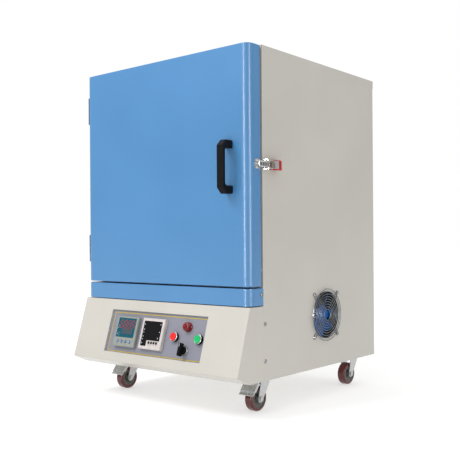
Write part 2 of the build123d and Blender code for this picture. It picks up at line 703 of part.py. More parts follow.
# Inner casing: a steel box open at the front, with holes for the leads behind
CHAMBER_REAR_Y = LINING_Y + CHAMBER_DEPTH
LINING_REAR_Y = CHAMBER_REAR_Y + LINING
BACKUP_REAR_Y = LINING_REAR_Y + BACKUP
PROBE_Z = CHAMBER_Z + 90.0
PROBE_RADIUS = 4.0
PROBE_HOLE = 5.0
ELEMENT_THICKNESS = 3.5
TERMINAL_X = CHAMBER_HALF - 5.0
TERMINAL_RISE = 125.0
TERMINAL_RADIUS = 2.5
TERMINAL_HOLE = 3.0
LEADS = [
    (side * TERMINAL_X, CHAMBER_Z + rise)
    for side in (-1, 1)
    for rise in (-TERMINAL_RISE, TERMINAL_RISE)
]


def lead_holes(from_y, to_y):
    """Cuts the holes of the probe and of the element terminals between two planes."""
    length = to_y - from_y
    middle = (from_y + to_y) / 2
    with Locations((0, middle, PROBE_Z)):
        Cylinder(PROBE_HOLE, length, rotation=(90, 0, 0), mode=Mode.SUBTRACT)
    with Locations(*[(x, middle, z) for x, z in LEADS]):
        Cylinder(TERMINAL_HOLE, length, rotation=(90, 0, 0), mode=Mode.SUBTRACT)


with BuildPart() as inner_casing:
    bar((-CASING_HALF, CASING_HALF), (LINING_Y, CASING_REAR_Y), (CASING_LOW, CASING_HIGH))
    offset(amount=-SHEET, openings=inner_casing.faces().sort_by(Axis.Y)[0])
    lead_holes(BACKUP_REAR_Y, CASING_REAR_Y)
inner_casing.part.label = "inner_casing"
export_step(inner_casing.part, "parts/inner_casing.step")

# Back-up insulation inside the casing
BACKUP_HALF = CASING_HALF - SHEET
with BuildPart() as backup_insulation:
    bar((-BACKUP_HALF, BACKUP_HALF), (LINING_Y, BACKUP_REAR_Y), (CASING_LOW + SHEET, CASING_HIGH - SHEET))
    offset(amount=-BACKUP, openings=backup_insulation.faces().sort_by(Axis.Y)[0])
    lead_holes(LINING_REAR_Y, BACKUP_REAR_Y)
backup_insulation.part.label = "backup_insulation"
export_step(backup_insulation.part, "parts/backup_insulation.step")

# Hot lining: two side blocks and the rear block, with a dry joint between them
LINING_HALF = CHAMBER_HALF + LINING
LINING_LOW = CHAMBER_Z - CHAMBER_HALF - ROOF_LINING
LINING_HIGH = CHAMBER_Z + CHAMBER_HALF + ROOF_LINING
BLOCK_JOINT = 0.5
with BuildPart() as chamber_walls:
    for side in (-1, 1):
        block = sorted((side * CHAMBER_HALF, side * LINING_HALF))
        bar(block, (LINING_Y, LINING_REAR_Y), (LINING_LOW, LINING_HIGH))
    rear_half = CHAMBER_HALF - BLOCK_JOINT
    bar((-rear_half, rear_half), (CHAMBER_REAR_Y, LINING_REAR_Y), (LINING_LOW, LINING_HIGH))
    add(MOUTH, mode=Mode.SUBTRACT)
    lead_holes(CHAMBER_REAR_Y, LINING_REAR_Y)
chamber_walls.part.label = "chamber_walls"
export_step(chamber_walls.part, "parts/chamber_walls.step")

# Roof and floor blocks between the side blocks, a matching pair
with BuildPart() as chamber_slabs:
    for low, high in ((CHAMBER_Z + CHAMBER_HALF, LINING_HIGH), (LINING_LOW, CHAMBER_Z - CHAMBER_HALF)):
        bar((-CHAMBER_HALF, CHAMBER_HALF), (LINING_Y, CHAMBER_REAR_Y), (low, high))
    add(MOUTH, mode=Mode.SUBTRACT)
chamber_slabs.part.label = "chamber_slabs"
export_step(chamber_slabs.part, "parts/chamber_slabs.step")

# Hearth plate, with rounded corners, lying on the floor block
HEARTH_HALF = 145.0
HEARTH_FRONT_Y = SEAM_Y + 60.0
HEARTH_LENGTH = 360.0
HEARTH_Z = CHAMBER_Z - CHAMBER_HALF
with BuildPart() as hearth_plate:
    with BuildSketch(Plane.XY.offset(HEARTH_Z)):
        with Locations((0, HEARTH_FRONT_Y + HEARTH_LENGTH / 2)):
            RectangleRounded(2 * HEARTH_HALF, HEARTH_LENGTH, 8.0)
    extrude(amount=HEARTH_THICKNESS)
    chamfer(hearth_plate.faces().sort_by(Axis.Z)[-1].edges(), 1.0)
hearth_plate.part.label = "hearth_plate"
export_step(hearth_plate.part, "parts/hearth_plate.step")

# Heating elements: a winding strip on each side wall, with terminals out to the rear
STRIP_WIDTH = 10.0
STRIP_PASSES = 6
STRIP_PITCH = 2 * TERMINAL_RISE / (STRIP_PASSES - 1)
STRIP_FRONT_Y = SEAM_Y + 80.0
STRIP_REAR_Y = CHAMBER_REAR_Y - 20.0
TERMINAL_END_Y = CASING_REAR_Y + 14.0


def strip_points():
    """Corner points of the winding strip, as Y and Z, starting and ending at the rear."""
    points = []
    for number in range(STRIP_PASSES):
        z = CHAMBER_Z + TERMINAL_RISE - number * STRIP_PITCH
        ends = [(STRIP_REAR_Y, z), (STRIP_FRONT_Y, z)]
        points += ends if number % 2 == 0 else ends[::-1]
    return points


with BuildPart() as heating_elements:
    for side in (-1, 1):
        with BuildSketch(across(side * CHAMBER_HALF)):
            with BuildLine() as winding:
                FilletPolyline(*strip_points(), radius=STRIP_PITCH / 2 - 3.0)
            trace(winding.edges(), line_width=STRIP_WIDTH)
        extrude(amount=-side * ELEMENT_THICKNESS)
    for x, z in LEADS:
        with BuildSketch(facing_front(TERMINAL_END_Y)):
            with Locations((x, z)):
                Circle(TERMINAL_RADIUS)
        extrude(amount=TERMINAL_END_Y - STRIP_REAR_Y + STRIP_WIDTH)
heating_elements.part.label = "heating_elements"
export_step(heating_elements.part, "parts/heating_elements.step")

# Thermocouple: a sheath from the chamber to a flanged head behind the casing
PROBE_REACH = 45.0
PROBE_FLANGE = (18.0, 4.0)
PROBE_HEAD = (15.0, 38.0)
with BuildPart() as thermocouple:
    with BuildSketch(Plane.YZ):
        with BuildLine():
            Polyline(
                (CHAMBER_REAR_Y - PROBE_REACH, PROBE_Z),
                (CHAMBER_REAR_Y - PROBE_REACH, PROBE_Z + PROBE_RADIUS),
                (CASING_REAR_Y, PROBE_Z + PROBE_RADIUS),
                (CASING_REAR_Y, PROBE_Z + PROBE_FLANGE[0]),
                (CASING_REAR_Y + PROBE_FLANGE[1], PROBE_Z + PROBE_FLANGE[0]),
                (CASING_REAR_Y + PROBE_FLANGE[1], PROBE_Z + PROBE_HEAD[0]),
                (CASING_REAR_Y + PROBE_HEAD[1], PROBE_Z + PROBE_HEAD[0]),
                (CASING_REAR_Y + PROBE_HEAD[1], PROBE_Z),
                close=True,
            )
        make_face()
    revolve(axis=Axis((0, 0, PROBE_Z), (0, 1, 0)))
thermocouple.part.label = "thermocouple"
export_step(thermocouple.part, "parts/thermocouple.step")

# Power tray: mounting plate with a finned power module, a contactor and a terminal rail
TRAY_Y = 110.0
TRAY_X = (-270.0, 60.0)
TRAY_FOOT = 40.0
TRAY_TOP_Z = CASING_LOW - ANGLE - 40.0
FIN_COUNT = 9
FIN_PITCH = 9.0
FIN_THICKNESS = 2.5
MODULE_X = -200.0
MODULE_Z = BOTTOM_Z + 150.0
with BuildPart() as power_tray:
    with BuildSketch(across(TRAY_X[0])):
        with BuildLine():
            Polyline((TRAY_Y + TRAY_FOOT, BOTTOM_Z + SHEET), (TRAY_Y, BOTTOM_Z + SHEET), (TRAY_Y, TRAY_TOP_Z))
            offset(amount=SHEET, side=Side.RIGHT)
        make_face()
    extrude(amount=TRAY_X[1] - TRAY_X[0])
    bar((MODULE_X - 40.0, MODULE_X + 40.0), (TRAY_Y - 8.0, TRAY_Y), (MODULE_Z - 60.0, MODULE_Z + 60.0))
    with Locations((MODULE_X, TRAY_Y - 28.0, MODULE_Z)):
        with GridLocations(FIN_PITCH, 1, FIN_COUNT, 1):
            Box(FIN_THICKNESS, 40.0, 120.0)
    bar((-110.0, -40.0), (TRAY_Y - 85.0, TRAY_Y), (MODULE_Z - 40.0, MODULE_Z + 40.0))
    bar((-110.0, 40.0), (TRAY_Y - 32.0, TRAY_Y), (BOTTOM_Z + 40.0, BOTTOM_Z + 72.0))
power_tray.part.label = "power_tray"
export_step(power_tray.part, "parts/power_tray.step")

# Mains gland in the rear panel: hexagon and dome outside, lock nut inside
GLAND_DOME = 24.0
GLAND_HEX = (14.5, 6.0)
GLAND_BORE = 6.5
GLAND_THREAD = GLAND_HOLE - 0.2
with BuildPart() as cable_gland:
    with BuildSketch(facing_rear(REAR_Y)):
        with Locations(GLAND_AT):
            RegularPolygon(GLAND_HEX[0], 6)
    extrude(amount=GLAND_HEX[1])
    with BuildSketch(facing_rear(REAR_Y)):
        with Locations(GLAND_AT):
            Circle(GLAND_THREAD + 1.0)
    extrude(amount=GLAND_DOME)
    fillet(cable_gland.faces().sort_by(Axis.Y)[-1].edges(), 3.5)
    with BuildSketch(facing_rear(REAR_Y)):
        with Locations(GLAND_AT):
            Circle(GLAND_THREAD)
    extrude(amount=-4 * SHEET)
    with BuildSketch(facing_rear(RETURN_Y)):
        with Locations(GLAND_AT):
            RegularPolygon(GLAND_HEX[0], 6)
    extrude(amount=-2 * SHEET)
    with BuildSketch(facing_rear(REAR_Y + GLAND_DOME)):
        with Locations(GLAND_AT):
            Circle(GLAND_BORE)
    extrude(amount=-(GLAND_DOME + 4 * SHEET), mode=Mode.SUBTRACT)
cable_gland.part.label = "cable_gland"
export_step(cable_gland.part, "parts/cable_gland.step")

# Door skin: a deep tray with rounded upright corners, open at the rear
with BuildPart() as door_skin:
    with BuildSketch(Plane.XY.offset(DOOR_BOTTOM_Z)):
        with Locations((0, (FRONT_Y + DOOR_REAR_Y) / 2)):
            Rectangle(2 * DOOR_HALF, DOOR_REAR_Y - FRONT_Y)
        fillet(vertices().group_by(Axis.Y)[0], DOOR_CORNER)
    extrude(amount=DOOR_TOP_Z - DOOR_BOTTOM_Z)
    for end in (0, -1):
        rim = door_skin.faces().sort_by(Axis.Z)[end].edges()
        fillet(rim.filter_by_position(Axis.Y, FRONT_Y, DOOR_REAR_Y - 1.0), DOOR_EDGE)
    offset(amount=-SHEET, openings=door_skin.faces().sort_by(Axis.Y)[-1])
    with BuildSketch(across(-DOOR_HALF)):
        with Locations(*DOOR_HINGE_SCREWS):
            Circle(SCREW_HOLE)
    extrude(amount=SHEET, mode=Mode.SUBTRACT)
    with BuildSketch(across(DOOR_HALF)):
        with Locations(*KEEPER_SCREWS):
            Circle(KEEPER_SCREW[2] + 0.3)
    extrude(amount=-SHEET, mode=Mode.SUBTRACT)
door_skin.part.label = "door_skin"
export_step(door_skin.part, "parts/door_skin.step")

# Door liner: the flat inner sheet with the window of the plug
DOOR_MID_Z = (DOOR_BOTTOM_Z + DOOR_TOP_Z) / 2
LINER_WINDOW = 2 * (plug_half(PLUG_ROOT_Y) + 1.2)
with BuildPart() as door_liner:
    with BuildSketch(facing_front(DOOR_REAR_Y)):
        with Locations((0, DOOR_MID_Z)):
            RectangleRounded(2 * (DOOR_HALF - SHEET), DOOR_TOP_Z - DOOR_BOTTOM_Z - 2 * SHEET, 1.0)
        with Locations((0, CHAMBER_Z)):
            Rectangle(LINER_WINDOW, LINER_WINDOW, mode=Mode.SUBTRACT)
    extrude(amount=SHEET)
door_liner.part.label = "door_liner"
export_step(door_liner.part, "parts/door_liner.step")

# Door plug: the insulation in the door and the tapered block that enters the mouth
FILL_HALF = 320.0
FILL_HEIGHT = 630.0
with BuildPart() as door_plug:
    with BuildSketch(facing_front(PLUG_ROOT_Y)):
        with Locations((0, DOOR_MID_Z)):
            Rectangle(2 * FILL_HALF, FILL_HEIGHT)
    extrude(amount=PLUG_ROOT_Y - FRONT_Y - SHEET)
    add(frustum(PLUG_ROOT_Y, plug_half(PLUG_ROOT_Y), MOUTH_Y, PLUG_TIP_HALF))
    tip = door_plug.faces().sort_by(Axis.Y)[-1]
    chamfer(tip.edges(), 3.0)
door_plug.part.label = "door_plug"
export_step(door_plug.part, "parts/door_plug.step")

# Door seal: a rope ring on the liner that meets the front frame
SEAL_HALF = 214.0
SEAL_WIDTH = 12.0
SEAL_GAP = 0.3
with BuildPart() as door_seal:
    with BuildSketch(facing_front(DOOR_REAR_Y)):
        with Locations((0, CHAMBER_Z)):
            RectangleRounded(2 * SEAL_HALF, 2 * SEAL_HALF, 20.0)
            inner_seal = 2 * (SEAL_HALF - SEAL_WIDTH)
            RectangleRounded(inner_seal, inner_seal, 8.0, mode=Mode.SUBTRACT)
    extrude(amount=-(SEAM_Y - DOOR_REAR_Y - SEAL_GAP))
    chamfer(door_seal.faces().sort_by(Axis.Y)[-1].edges(), 3.0)
door_seal.part.label = "door_seal"
export_step(door_seal.part, "parts/door_seal.step")

# Bridge handle on the door: bevelled ends and a straight grip
HANDLE_X = 279.0
HANDLE_WIDTH = 24.0
HANDLE_LOW = BOTTOM_Z + 535.0
HANDLE_HIGH = BOTTOM_Z + 687.0
HANDLE_REACH = 44.0
HANDLE_GRIP = 13.0
HANDLE_FOOT = 23.0
HANDLE_BEVEL = 16.0
HANDLE_TOP_Y = FRONT_Y - HANDLE_REACH
HANDLE_GAP_Y = HANDLE_TOP_Y + HANDLE_GRIP
GAP_BEVEL = 6.0
with BuildPart() as door_handle:
    with BuildSketch(across(HANDLE_X - HANDLE_WIDTH / 2)):
        with BuildLine():
            Polyline(
                (FRONT_Y, HANDLE_LOW),
                (HANDLE_TOP_Y + HANDLE_BEVEL, HANDLE_LOW),
                (HANDLE_TOP_Y, HANDLE_LOW + HANDLE_BEVEL),
                (HANDLE_TOP_Y, HANDLE_HIGH - HANDLE_BEVEL),
                (HANDLE_TOP_Y + HANDLE_BEVEL, HANDLE_HIGH),
                (FRONT_Y, HANDLE_HIGH),
                (FRONT_Y, HANDLE_HIGH - HANDLE_FOOT),
                (HANDLE_GAP_Y + GAP_BEVEL, HANDLE_HIGH - HANDLE_FOOT),
                (HANDLE_GAP_Y, HANDLE_HIGH - HANDLE_FOOT - GAP_BEVEL),
                (HANDLE_GAP_Y, HANDLE_LOW + HANDLE_FOOT + GAP_BEVEL),
                (HANDLE_GAP_Y + GAP_BEVEL, HANDLE_LOW + HANDLE_FOOT),
                (FRONT_Y, HANDLE_LOW + HANDLE_FOOT),
                close=True,
            )
        make_face()
    extrude(amount=HANDLE_WIDTH)
    for x in (HANDLE_X - HANDLE_WIDTH / 2, HANDLE_X + HANDLE_WIDTH / 2):
        rim = door_handle.edges().filter_by_position(Axis.X, x, x)
        chamfer(rim.filter_by_position(Axis.Y, HANDLE_TOP_Y, FRONT_Y - 2.0), 2.5)
door_handle.part.label = "door_handle"
export_step(door_handle.part, "parts/door_handle.step")

# Lift-off hinges: leaf and knuckle with a pin on the cabinet, leaf and bored knuckle on the door
LEAF_HALF_HEIGHT = 45.0
KNUCKLE_GAP = 0.3
CABINET_LEAF_Y = (SEAM_Y + 4.0, SEAM_Y + 50.0)
DOOR_LEAF_Y = (SEAM_Y - 52.0, SEAM_Y - 14.0)
LEAF_TONGUE = 10.0


def hinge_leaf(plate_x, plate_y, middle_z, knuckle_z, tongue_y):
    """A leaf on the given plate limits, hulled to its knuckle over the knuckle's height."""
    with BuildPart() as leaf:
        bar(plate_x, plate_y, (middle_z - LEAF_HALF_HEIGHT, middle_z + LEAF_HALF_HEIGHT))
        with BuildSketch(Plane.XY.offset(knuckle_z)):
            with Locations((HINGE_X, HINGE_Y)):
                Circle(KNUCKLE_RADIUS)
            with Locations(((plate_x[0] + plate_x[1]) / 2, tongue_y)):
                Rectangle(plate_x[1] - plate_x[0], LEAF_TONGUE)
            make_hull()
        extrude(amount=KNUCKLE_HEIGHT - KNUCKLE_GAP / 2)
    return leaf.part


with BuildPart() as cabinet_hinges:
    for height in HINGE_HEIGHTS:
        tongue = CABINET_LEAF_Y[0] + LEAF_TONGUE / 2
        add(hinge_leaf((-HALF - LEAF, -HALF), CABINET_LEAF_Y, height, height - KNUCKLE_HEIGHT, tongue))
        with BuildSketch(Plane.XY.offset(height - KNUCKLE_GAP)):
            with Locations((HINGE_X, HINGE_Y)):
                Circle(HINGE_PIN_RADIUS)
        extrude(amount=KNUCKLE_HEIGHT - 6.0)
    with BuildSketch(across(-HALF - LEAF)):
        with Locations(*CABINET_HINGE_SCREWS):
            Circle(SCREW_HOLE)
    extrude(amount=LEAF, mode=Mode.SUBTRACT)
cabinet_hinges.part.label = "cabinet_hinges"
export_step(cabinet_hinges.part, "parts/cabinet_hinges.step")

with BuildPart() as door_hinges:
    for height in HINGE_HEIGHTS:
        tongue = DOOR_LEAF_Y[1] - LEAF_TONGUE / 2
        knuckle_low = height + KNUCKLE_GAP / 2
        add(hinge_leaf((-DOOR_HALF - LEAF, -DOOR_HALF), DOOR_LEAF_Y, height, knuckle_low, tongue))
        with BuildSketch(Plane.XY.offset(knuckle_low)):
            with Locations((HINGE_X, HINGE_Y)):
                Circle(HINGE_PIN_RADIUS + RUNNING_FIT)
        extrude(amount=KNUCKLE_HEIGHT - 4.0, mode=Mode.SUBTRACT)
    with BuildSketch(across(-DOOR_HALF - LEAF)):
        with Locations(*DOOR_HINGE_SCREWS):
            Circle(SCREW_HOLE)
    extrude(amount=LEAF, mode=Mode.SUBTRACT)
    for y, z in DOOR_HINGE_SCREWS:
        seat = Plane(origin=(-DOOR_HALF - LEAF, y, z), x_dir=(0, -1, 0), z_dir=(-1, 0, 0))
        add(screw_at(seat, LEAF + 2 * SHEET))
door_hinges.part.label = "door_hinges"
export_step(door_hinges.part, "parts/door_hinges.step")

# Door switch: a body behind the right front return and the plunger that the door presses
SWITCH_BODY = (16.0, 30.0, 24.0)
PLUNGER_LENGTH = 22.0
PLUNGER_GAP = 0.3
PLUNGER_STROKE = 2.0
PLUNGER_TIP_Y = DOOR_REAR_Y + PLUNGER_GAP
with BuildPart() as door_switch:
    switch_x = PLUNGER_X - 2.0
    with Locations((switch_x, SEAM_Y + SHEET + SWITCH_BODY[1] / 2, PLUNGER_Z)):
        Box(*SWITCH_BODY)
    with BuildSketch(facing_front(SEAM_Y + SHEET)):
        with Locations((PLUNGER_X, PLUNGER_Z)):
            Circle(PLUNGER_RADIUS + RUNNING_FIT)
    bore = PLUNGER_TIP_Y + PLUNGER_LENGTH + PLUNGER_STROKE + 1.0 - SEAM_Y - SHEET
    extrude(amount=-bore, mode=Mode.SUBTRACT)
door_switch.part.label = "door_switch"
export_step(door_switch.part, "parts/door_switch.step")

with BuildPart() as switch_plunger:
    with BuildSketch(facing_front(PLUNGER_TIP_Y)):
        with Locations((PLUNGER_X, PLUNGER_Z)):
            Circle(PLUNGER_RADIUS)
    extrude(amount=-PLUNGER_LENGTH)
    chamfer(switch_plunger.faces().sort_by(Axis.Y)[0].edges(), 1.0)
switch_plunger.part.label = "switch_plunger"
export_step(switch_plunger.part, "parts/switch_plunger.step")

# Toggle latch. Base on the side panel: plate, two cheeks and a rivet in each cheek
LATCH_HALF = 14.3
LATCH_PLATE_Y = (SEAM_Y + 1.0, SEAM_Y + 40.0)
CHEEK_OUTER = 14.0
CHEEK_INNER = 12.0
RIVET_RADIUS = 2.0
LEVER_OUTER = 11.6
LEVER_INNER = 9.6
with BuildPart() as latch_base:
    bar((HALF, HALF + SHEET), LATCH_PLATE_Y, (LATCH_Z - LATCH_HALF, LATCH_Z + LATCH_HALF))
    for side in (-1, 1):
        low = LATCH_Z + min(side * CHEEK_INNER, side * CHEEK_OUTER)
        with BuildSketch(Plane.XY.offset(low)):
            with Locations(LATCH_PIVOT):
                Circle(4.5)
            with Locations((HALF + SHEET / 2, LATCH_PIVOT[1] + 2.0)):
                Rectangle(SHEET, 20.0)
            make_hull()
        extrude(amount=CHEEK_OUTER - CHEEK_INNER)
        rivet_low = LATCH_Z + min(side * LEVER_INNER, side * (CHEEK_OUTER + 0.8))
        with BuildSketch(Plane.XY.offset(rivet_low)):
            with Locations(LATCH_PIVOT):
                Circle(RIVET_RADIUS)
        extrude(amount=CHEEK_OUTER + 0.8 - LEVER_INNER)
    with BuildSketch(across(HALF)):
        with Locations(*LATCH_SCREWS):
            Circle(SCREW_HOLE)
    extrude(amount=SHEET, mode=Mode.SUBTRACT)
latch_base.part.label = "latch_base"
export_step(latch_base.part, "parts/latch_base.step")

# Latch lever: two cheeks round both pivots, joined by a web under the grip
LEVER_TAIL_Y = (SEAM_Y + 34.0, SEAM_Y + 58.0)
LEVER_TAIL_X = (HALF + 10.0, HALF + 18.0)
WEB_Y = (SEAM_Y + 38.0, SEAM_Y + 56.0)
with BuildPart() as latch_lever:
    for side in (-1, 1):
        low = LATCH_Z + min(side * LEVER_INNER, side * LEVER_OUTER)
        with BuildSketch(Plane.XY.offset(low)):
            with Locations(LATCH_PIVOT):
                Circle(4.5)
            with Locations(LOOP_PIVOT):
                Circle(4.0)
            with Locations((sum(LEVER_TAIL_X) / 2, sum(LEVER_TAIL_Y) / 2)):
                Rectangle(LEVER_TAIL_X[1] - LEVER_TAIL_X[0], LEVER_TAIL_Y[1] - LEVER_TAIL_Y[0])
            make_hull()
            with Locations(LATCH_PIVOT):
                Circle(RIVET_RADIUS + RUNNING_FIT, mode=Mode.SUBTRACT)
            with Locations(LOOP_PIVOT):
                Circle(LOOP_WIRE / 2 + RUNNING_FIT, mode=Mode.SUBTRACT)
        extrude(amount=LEVER_OUTER - LEVER_INNER)
    bar((LEVER_TAIL_X[1] - SHEET, LEVER_TAIL_X[1]), WEB_Y, (LATCH_Z - LEVER_INNER, LATCH_Z + LEVER_INNER))
latch_lever.part.label = "latch_lever"
export_step(latch_lever.part, "parts/latch_lever.step")

# Red grip: a U-shaped sleeve round the end of the lever
GRIP_Y = (SEAM_Y + 36.0, SEAM_Y + 67.0)
GRIP_X = (HALF + 8.0, HALF + 20.0)
GRIP_HALF = 14.5
with BuildPart() as latch_grip:
    with BuildSketch(across(GRIP_X[0])):
        with Locations((sum(GRIP_Y) / 2, LATCH_Z)):
            Rectangle(GRIP_Y[1] - GRIP_Y[0], 2 * GRIP_HALF)
        fillet(vertices().group_by(Axis.Y)[-1], 5.0)
        with Locations(((GRIP_Y[0] + LEVER_TAIL_Y[1]) / 2, LATCH_Z)):
            Rectangle(LEVER_TAIL_Y[1] - GRIP_Y[0], 2 * LEVER_OUTER, mode=Mode.SUBTRACT)
    extrude(amount=GRIP_X[1] - GRIP_X[0])
    tip = latch_grip.faces().sort_by(Axis.X)
    chamfer(tip[-1].edges().filter_by_position(Axis.Y, GRIP_Y[1] - 6.0, GRIP_Y[1]), 2.0)
latch_grip.part.label = "latch_grip"
export_step(latch_grip.part, "parts/latch_grip.step")

# Latch loop: one bent wire from the lever's cheeks round its bar
with BuildPart() as latch_loop:
    with BuildLine() as wire:
        FilletPolyline(
            (*LOOP_PIVOT, LATCH_Z + LEVER_OUTER),
            (*LOOP_PIVOT, LATCH_Z + LOOP_HALF),
            (*LOOP_BAR, LATCH_Z + LOOP_HALF),
            (*LOOP_BAR, LATCH_Z - LOOP_HALF),
            (*LOOP_PIVOT, LATCH_Z - LOOP_HALF),
            (*LOOP_PIVOT, LATCH_Z - LEVER_OUTER),
            radius=2.4,
        )
    with BuildSketch(Plane(origin=wire.line @ 0, z_dir=wire.line % 0)):
        Circle(LOOP_WIRE / 2)
    sweep()
latch_loop.part.label = "latch_loop"
export_step(latch_loop.part, "parts/latch_loop.step")

# Keeper on the door's side face: plate with a raised lip, and its two small screws
KEEPER_Y = (SEAM_Y - 38.0, SEAM_Y - 16.0)
KEEPER_LIP_TOP = DOOR_HALF + 8.8
LIP_HALF = 4.8
with BuildPart() as latch_keeper:
    with BuildSketch(across(DOOR_HALF)):
        with Locations((sum(KEEPER_Y) / 2, LATCH_Z)):
            RectangleRounded(KEEPER_Y[1] - KEEPER_Y[0], 2 * LATCH_HALF, 3.0)
        with Locations(*KEEPER_SCREWS):
            Circle(KEEPER_SCREW[2] + 0.3, mode=Mode.SUBTRACT)
    extrude(amount=SHEET)
    with BuildSketch(Plane.XY.offset(LATCH_Z - LIP_HALF)):
        Polygon(
            (DOOR_HALF + SHEET, SEAM_Y - 20.0),
            (KEEPER_LIP_TOP - 1.0, SEAM_Y - 24.5),
            (KEEPER_LIP_TOP, SEAM_Y - 28.5),
            (KEEPER_LIP_TOP - 2.5, SEAM_Y - 28.0),
            (DOOR_HALF + SHEET, SEAM_Y - 24.0),
            align=None,
        )
    extrude(amount=2 * LIP_HALF)
    for y, z in KEEPER_SCREWS:
        seat = Plane(origin=(DOOR_HALF + SHEET, y, z), x_dir=(0, 1, 0), z_dir=(1, 0, 0))
        head, height, shank = KEEPER_SCREW
        add(screw_at(seat, 2 * SHEET + 1.0, head, height, shank))
latch_keeper.part.label = "latch_keeper"
export_step(latch_keeper.part, "parts/latch_keeper.step")

# Fan: square frame with its bore, four struts and the motor with its shaft
FAN_INNER = Plane(origin=(INNER - FAN_DEPTH, FAN_Y, FAN_Z), x_dir=(0, 1, 0), z_dir=(1, 0, 0))
MOTOR_RADIUS = 29.0
MOTOR_LENGTH = 14.0
SHAFT_RADIUS = 4.0
SHAFT_LENGTH = 30.0
STRUT_WIDTH = 7.0
STRUT_THICKNESS = 4.0
with BuildPart(FAN_INNER) as fan_frame:
    with BuildSketch(FAN_INNER):
        RectangleRounded(FAN_FRAME, FAN_FRAME, 12.0)
        Circle(FAN_HOLE / 2, mode=Mode.SUBTRACT)
        with GridLocations(FAN_SCREW_SPACING, FAN_SCREW_SPACING, 2, 2):
            Circle(SCREW_HOLE, mode=Mode.SUBTRACT)
    extrude(amount=FAN_DEPTH)
    with BuildSketch(FAN_INNER):
        with PolarLocations(FAN_HOLE / 4 + 2.0, 4, start_angle=45):
            Rectangle(FAN_HOLE / 2 - 2.0, STRUT_WIDTH)
    extrude(amount=STRUT_THICKNESS)
    with BuildSketch(FAN_INNER):
        Circle(MOTOR_RADIUS)
    extrude(amount=MOTOR_LENGTH)
    with BuildSketch(FAN_INNER):
        Circle(SHAFT_RADIUS)
    extrude(amount=SHAFT_LENGTH)
fan_frame.part.label = "fan_frame"
export_step(fan_frame.part, "parts/fan_frame.step")

# Impeller: a hub on the shaft with seven twisted blades
HUB_RADIUS = 30.0
HUB_LENGTH = 26.0
HUB_SHIFT = MOTOR_LENGTH + 2.0
BLADE_COUNT = 7
BLADE_THICKNESS = 2.2
BLADE_SECTIONS = ((HUB_RADIUS - 3.0, 26.0, 52.0), (50.0, 34.0, 40.0), (70.0, 40.0, 30.0))


def fan_blade():
    """One blade along +X, twisted from its root to its tip."""
    with BuildPart() as blade:
        for radius, chord, pitch in BLADE_SECTIONS:
            with BuildSketch(Plane(origin=(radius, 0, 0), x_dir=(0, 1, 0), z_dir=(1, 0, 0))):
                Rectangle(chord, BLADE_THICKNESS, rotation=pitch)
        loft()
    return blade.part


BLADE = fan_blade()
IMPELLER_PLANE = FAN_INNER.offset(HUB_SHIFT + HUB_LENGTH / 2)
with BuildPart(IMPELLER_PLANE) as fan_impeller:
    Cylinder(HUB_RADIUS, HUB_LENGTH)
    chamfer(fan_impeller.faces().sort_by(Axis.X)[-1].edges(), 3.0)
    with PolarLocations(0, BLADE_COUNT):
        add(BLADE)
    with BuildSketch(FAN_INNER.offset(HUB_SHIFT)):
        Circle(SHAFT_RADIUS + RUNNING_FIT)
    extrude(amount=SHAFT_LENGTH - HUB_SHIFT + 1.0, mode=Mode.SUBTRACT)
fan_impeller.part.label = "fan_impeller"
export_step(fan_impeller.part, "parts/fan_impeller.step")

# Fan guard: wire rings on four pairs of spokes that end in eyelets under the screws
GUARD_PLANE = Plane(origin=(HALF, FAN_Y, FAN_Z), x_dir=(0, 1, 0), z_dir=(1, 0, 0))
RING_COUNT = 9
RING_PITCH = 8.0
RING_RISE = 2 * WIRE
EYELET_RADIUS = FAN_SCREW_SPACING / 2 * 2**0.5
EYELET_OUTER = 7.5
SPOKE_SPREAD = 5.0
with BuildPart() as fan_guard:
    with BuildSketch(GUARD_PLANE.offset(RING_RISE)):
        for number in range(RING_COUNT):
            radius = GUARD_RADIUS - number * RING_PITCH
            Circle(radius)
            Circle(radius - WIRE, mode=Mode.SUBTRACT)
    extrude(amount=WIRE)
    spoke_low = GUARD_RADIUS - (RING_COUNT - 1) * RING_PITCH - WIRE
    spoke_high = EYELET_RADIUS - EYELET_OUTER + 2.0
    with BuildSketch(GUARD_PLANE.offset(WIRE)):
        with PolarLocations((spoke_low + spoke_high) / 2, 4, start_angle=45):
            with Locations((0, -SPOKE_SPREAD), (0, SPOKE_SPREAD)):
                Rectangle(spoke_high - spoke_low, WIRE)
    extrude(amount=WIRE)
    with BuildSketch(GUARD_PLANE):
        with PolarLocations(EYELET_RADIUS, 4, start_angle=45):
            Circle(EYELET_OUTER)
            Circle(SCREW_HOLE, mode=Mode.SUBTRACT)
    extrude(amount=WIRE)
fan_guard.part.label = "fan_guard"
export_step(fan_guard.part, "parts/fan_guard.step")

# Castor plates: plate, raceway, king pin with its nut, and bolts up through the base pan
RACE_RADIUS = 22.0
RACE_HEIGHT = 4.0
KING_RADIUS = 5.0
KING_LOW = 83.0
KING_NUT = (9.0, 6.4)
FORK_TOP_Z = LIFT - PLATE_THICKNESS - RACE_HEIGHT - 0.3
FORK_HEAD_RADIUS = 23.0
CROWN_Z = 89.8
BOLT_STEPS = (
    (LIFT - PLATE_THICKNESS - 4.0, 7.0, 6, 4.0),
    (LIFT - PLATE_THICKNESS, 4.0, 12, PLATE_THICKNESS + SHEET),
    (LIFT + SHEET, 7.0, 6, 4.0),
)


